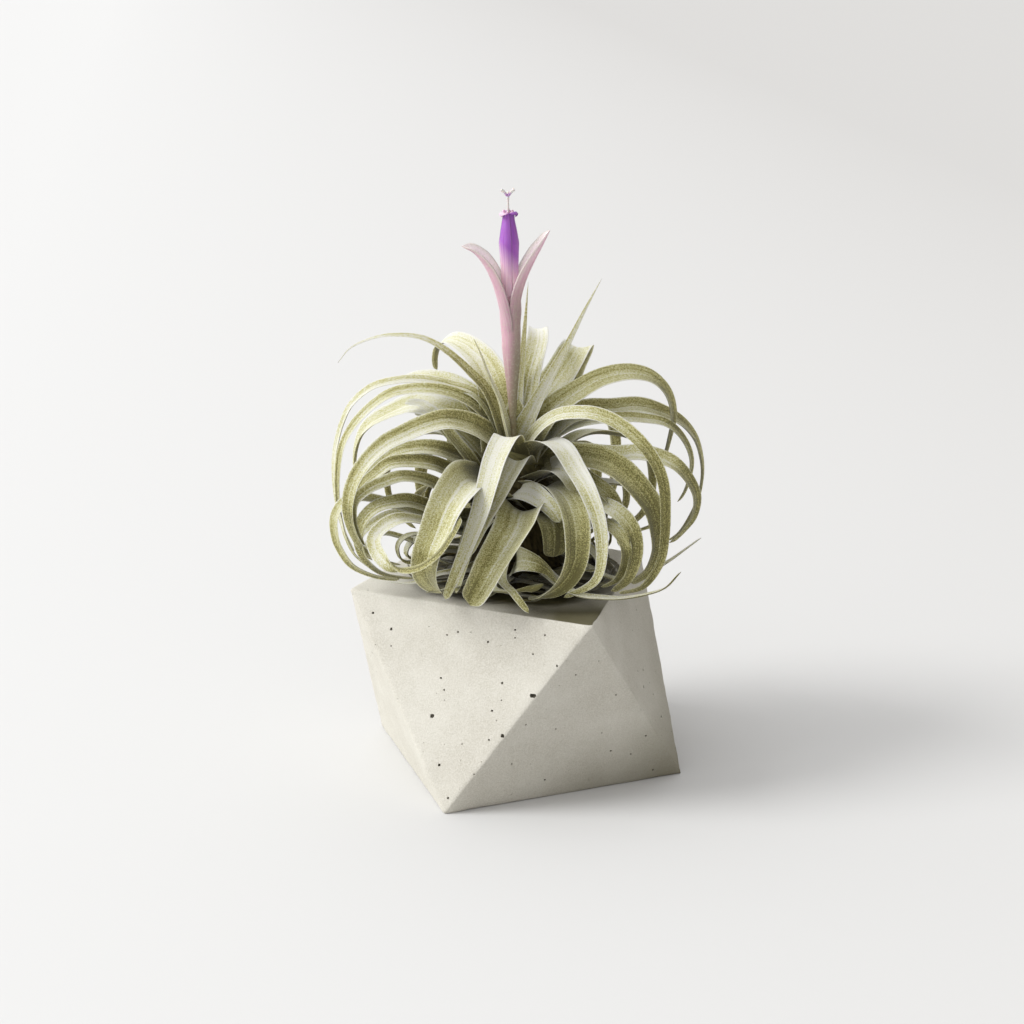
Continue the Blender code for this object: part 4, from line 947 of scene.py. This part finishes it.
STYLE_RADIUS = 0.45
STYLE_FOOT, STYLE_TOP = 84, 99.8
STYLE_RINGS, STYLE_SIDES = 60, 16
LOBES = ((180, 1), (0, 1), (85, 0.6))  # headings, and lengths as shares
LOBE_LENGTH = 4.4
LOBE_RINGS = 24


def style_rings():
    """A thread whose radius swells a little at the foot and under the fork."""
    z = np.linspace(STYLE_FOOT, STYLE_TOP + 0.3, STYLE_RINGS)[:, None]
    r = STYLE_RADIUS * (1 + 0.5 * np.exp(-(z - 91) ** 2 / 4) + 0.35 * np.exp(-(z - STYLE_TOP) ** 2 / 0.5))
    turn = full_turn(STYLE_SIDES)
    return on_stalk(stacked(r * np.cos(turn), r * np.sin(turn), z)), np.zeros((STYLE_RINGS, STYLE_SIDES, 1))


def lobe_rings(heading, reach):
    """A lobe of the fork: a tube on a curve that leans out and bends level, frilled and blunt at its tip."""
    t = np.linspace(0, 1, LOBE_RINGS)[:, None]
    lean = np.radians(22 + 34 * t)
    step = reach * LOBE_LENGTH / LOBE_RINGS
    out, rise = np.cumsum(np.sin(lean))[:, None] * step, np.cumsum(np.cos(lean))[:, None] * step
    turn = full_turn(STYLE_SIDES)
    r = (0.36 + 0.28 * t + 0.06 * np.sin(30 * t)) * (1 + 0.1 * np.cos(3 * turn))
    r[-1] *= 0.3
    side, up = r * np.cos(turn), r * np.sin(turn)
    x = out + up * np.cos(lean)
    z = STYLE_TOP - 0.2 + rise - up * np.sin(lean)
    skin = stacked(x * math.cos(heading) - side * math.sin(heading),
                   x * math.sin(heading) + side * math.cos(heading), z)
    return on_stalk(skin), np.broadcast_to(t[..., None], (LOBE_RINGS, STYLE_SIDES, 1))


def white_style():
    """Style tissue: white and moist, purple at the fork of the stigma, white and warty at its tips."""
    add, where, finish = new_material("white style", 0.45, 0.35, Subsurface_Weight=0.15,
                                      Subsurface_Scale=0.0008)
    share = add("Attribute", output="Fac", attribute_name="a")
    warts = add("Math", lumps(add, where, 0.6, 1, 0.4, 0.6), 0.3, operation="MULTIPLY")
    fork = add("Math", add("MapRange", share, 0.01, 0.1, 0, 0.9), add("MapRange", share, 0.35, 0.6, 0, 0.9),
               operation="SUBTRACT")
    return finish(layered(add, linear("#D3D0C9"), ((fork, "#A45FB0"), (warts, "#E3D3D9"))))


lobes = [lobe_rings(math.radians(heading), reach) for heading, reach in LOBES]
style = new_piece("style_and_stigma", [style_rings(), *lobes], white_style())
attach(style, "root")
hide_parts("style")


# The stage: a wide pale floor, a white room that is brightest on the window's side, one broad soft sun from
# the left, and the camera, which looks 17 degrees down along the y axis.

FLOOR_REACH, FLOOR_DEPTH, FLOOR_SIDES = 9000.0, 5, 64
SUN_STRENGTH, SUN_WIDTH = 2.3, 26
SUN_AZIMUTH, SUN_ELEVATION = -83, 38  # azimuth 0 is the front and 90 the right
WINDOW_SIDE, DARK_SIDE = (1.6, 1.605, 1.625, 1), (0.08, 0.06, 0.035, 1)  # light, so not hex colours
CAMERA_PLACE = (-0.0066, -0.8755, 0.3742)
CAMERA_LENS, CAMERA_SENSOR, CAMERA_PITCH = 77.34, 36.0, 17


def pale_floor():
    """Matt white paper, plain but for painted shade: a shade darker towards the right and the back, where the
    light falls off.
    """
    add, where, finish = new_material("white paper", 0.95, 0.1)
    # painted shade: darker towards the right and the back
    far = add("VectorMath", where, (1, 0.15, 0), output="Value", operation="DOT_PRODUCT")
    return finish(layered(add, linear("#CFCFCE"), ((add("MapRange", far, -0.3, 0.8), "#BAB9B7"),)))


def white_room():
    """A sky that is white towards the window on the left and dims evenly to warm grey at the right front."""
    room = bpy.data.worlds.new("white room")
    room.use_nodes = True
    add = partial(add_node, room.node_tree)
    where = add("TexCoord", output="Generated")
    right = add("VectorMath", where, (0.85, -0.3, -0.4), output="Value", operation="DOT_PRODUCT")
    shade = add("MapRange", right, -1, 1)
    colour = add("Mix", {0: shade, 6: WINDOW_SIDE, 7: DARK_SIDE}, output=2, data_type="RGBA")
    fill(room.node_tree.nodes["Background"], {"Color": colour})
    return room


turn = full_turn(FLOOR_SIDES)
rim = FLOOR_REACH * stacked(np.cos(turn), np.sin(turn), 0)
floor = new_piece("floor", [(np.stack([rim - (0, 0, FLOOR_DEPTH), rim]), None)], pale_floor(), smooth=False)

sun = bpy.data.objects.new("key", bpy.data.lights.new("key", "SUN"))
sun.data.energy, sun.data.angle = SUN_STRENGTH, math.radians(SUN_WIDTH)
sun.rotation_euler = (math.radians(90 - SUN_ELEVATION), 0, math.radians(SUN_AZIMUTH))
bpy.context.scene.collection.objects.link(sun)
bpy.context.scene.world = white_room()
bpy.context.scene.view_settings.view_transform = "Standard"
bpy.context.scene.view_settings.look = "None"

camera = bpy.data.objects.new("camera", bpy.data.cameras.new("camera"))
camera.data.lens = CAMERA_LENS
camera.data.sensor_width = CAMERA_SENSOR
camera.location = CAMERA_PLACE
camera.rotation_euler = (math.radians(90 - CAMERA_PITCH), 0, 0)
bpy.context.scene.collection.objects.link(camera)
bpy.context.scene.camera = camera
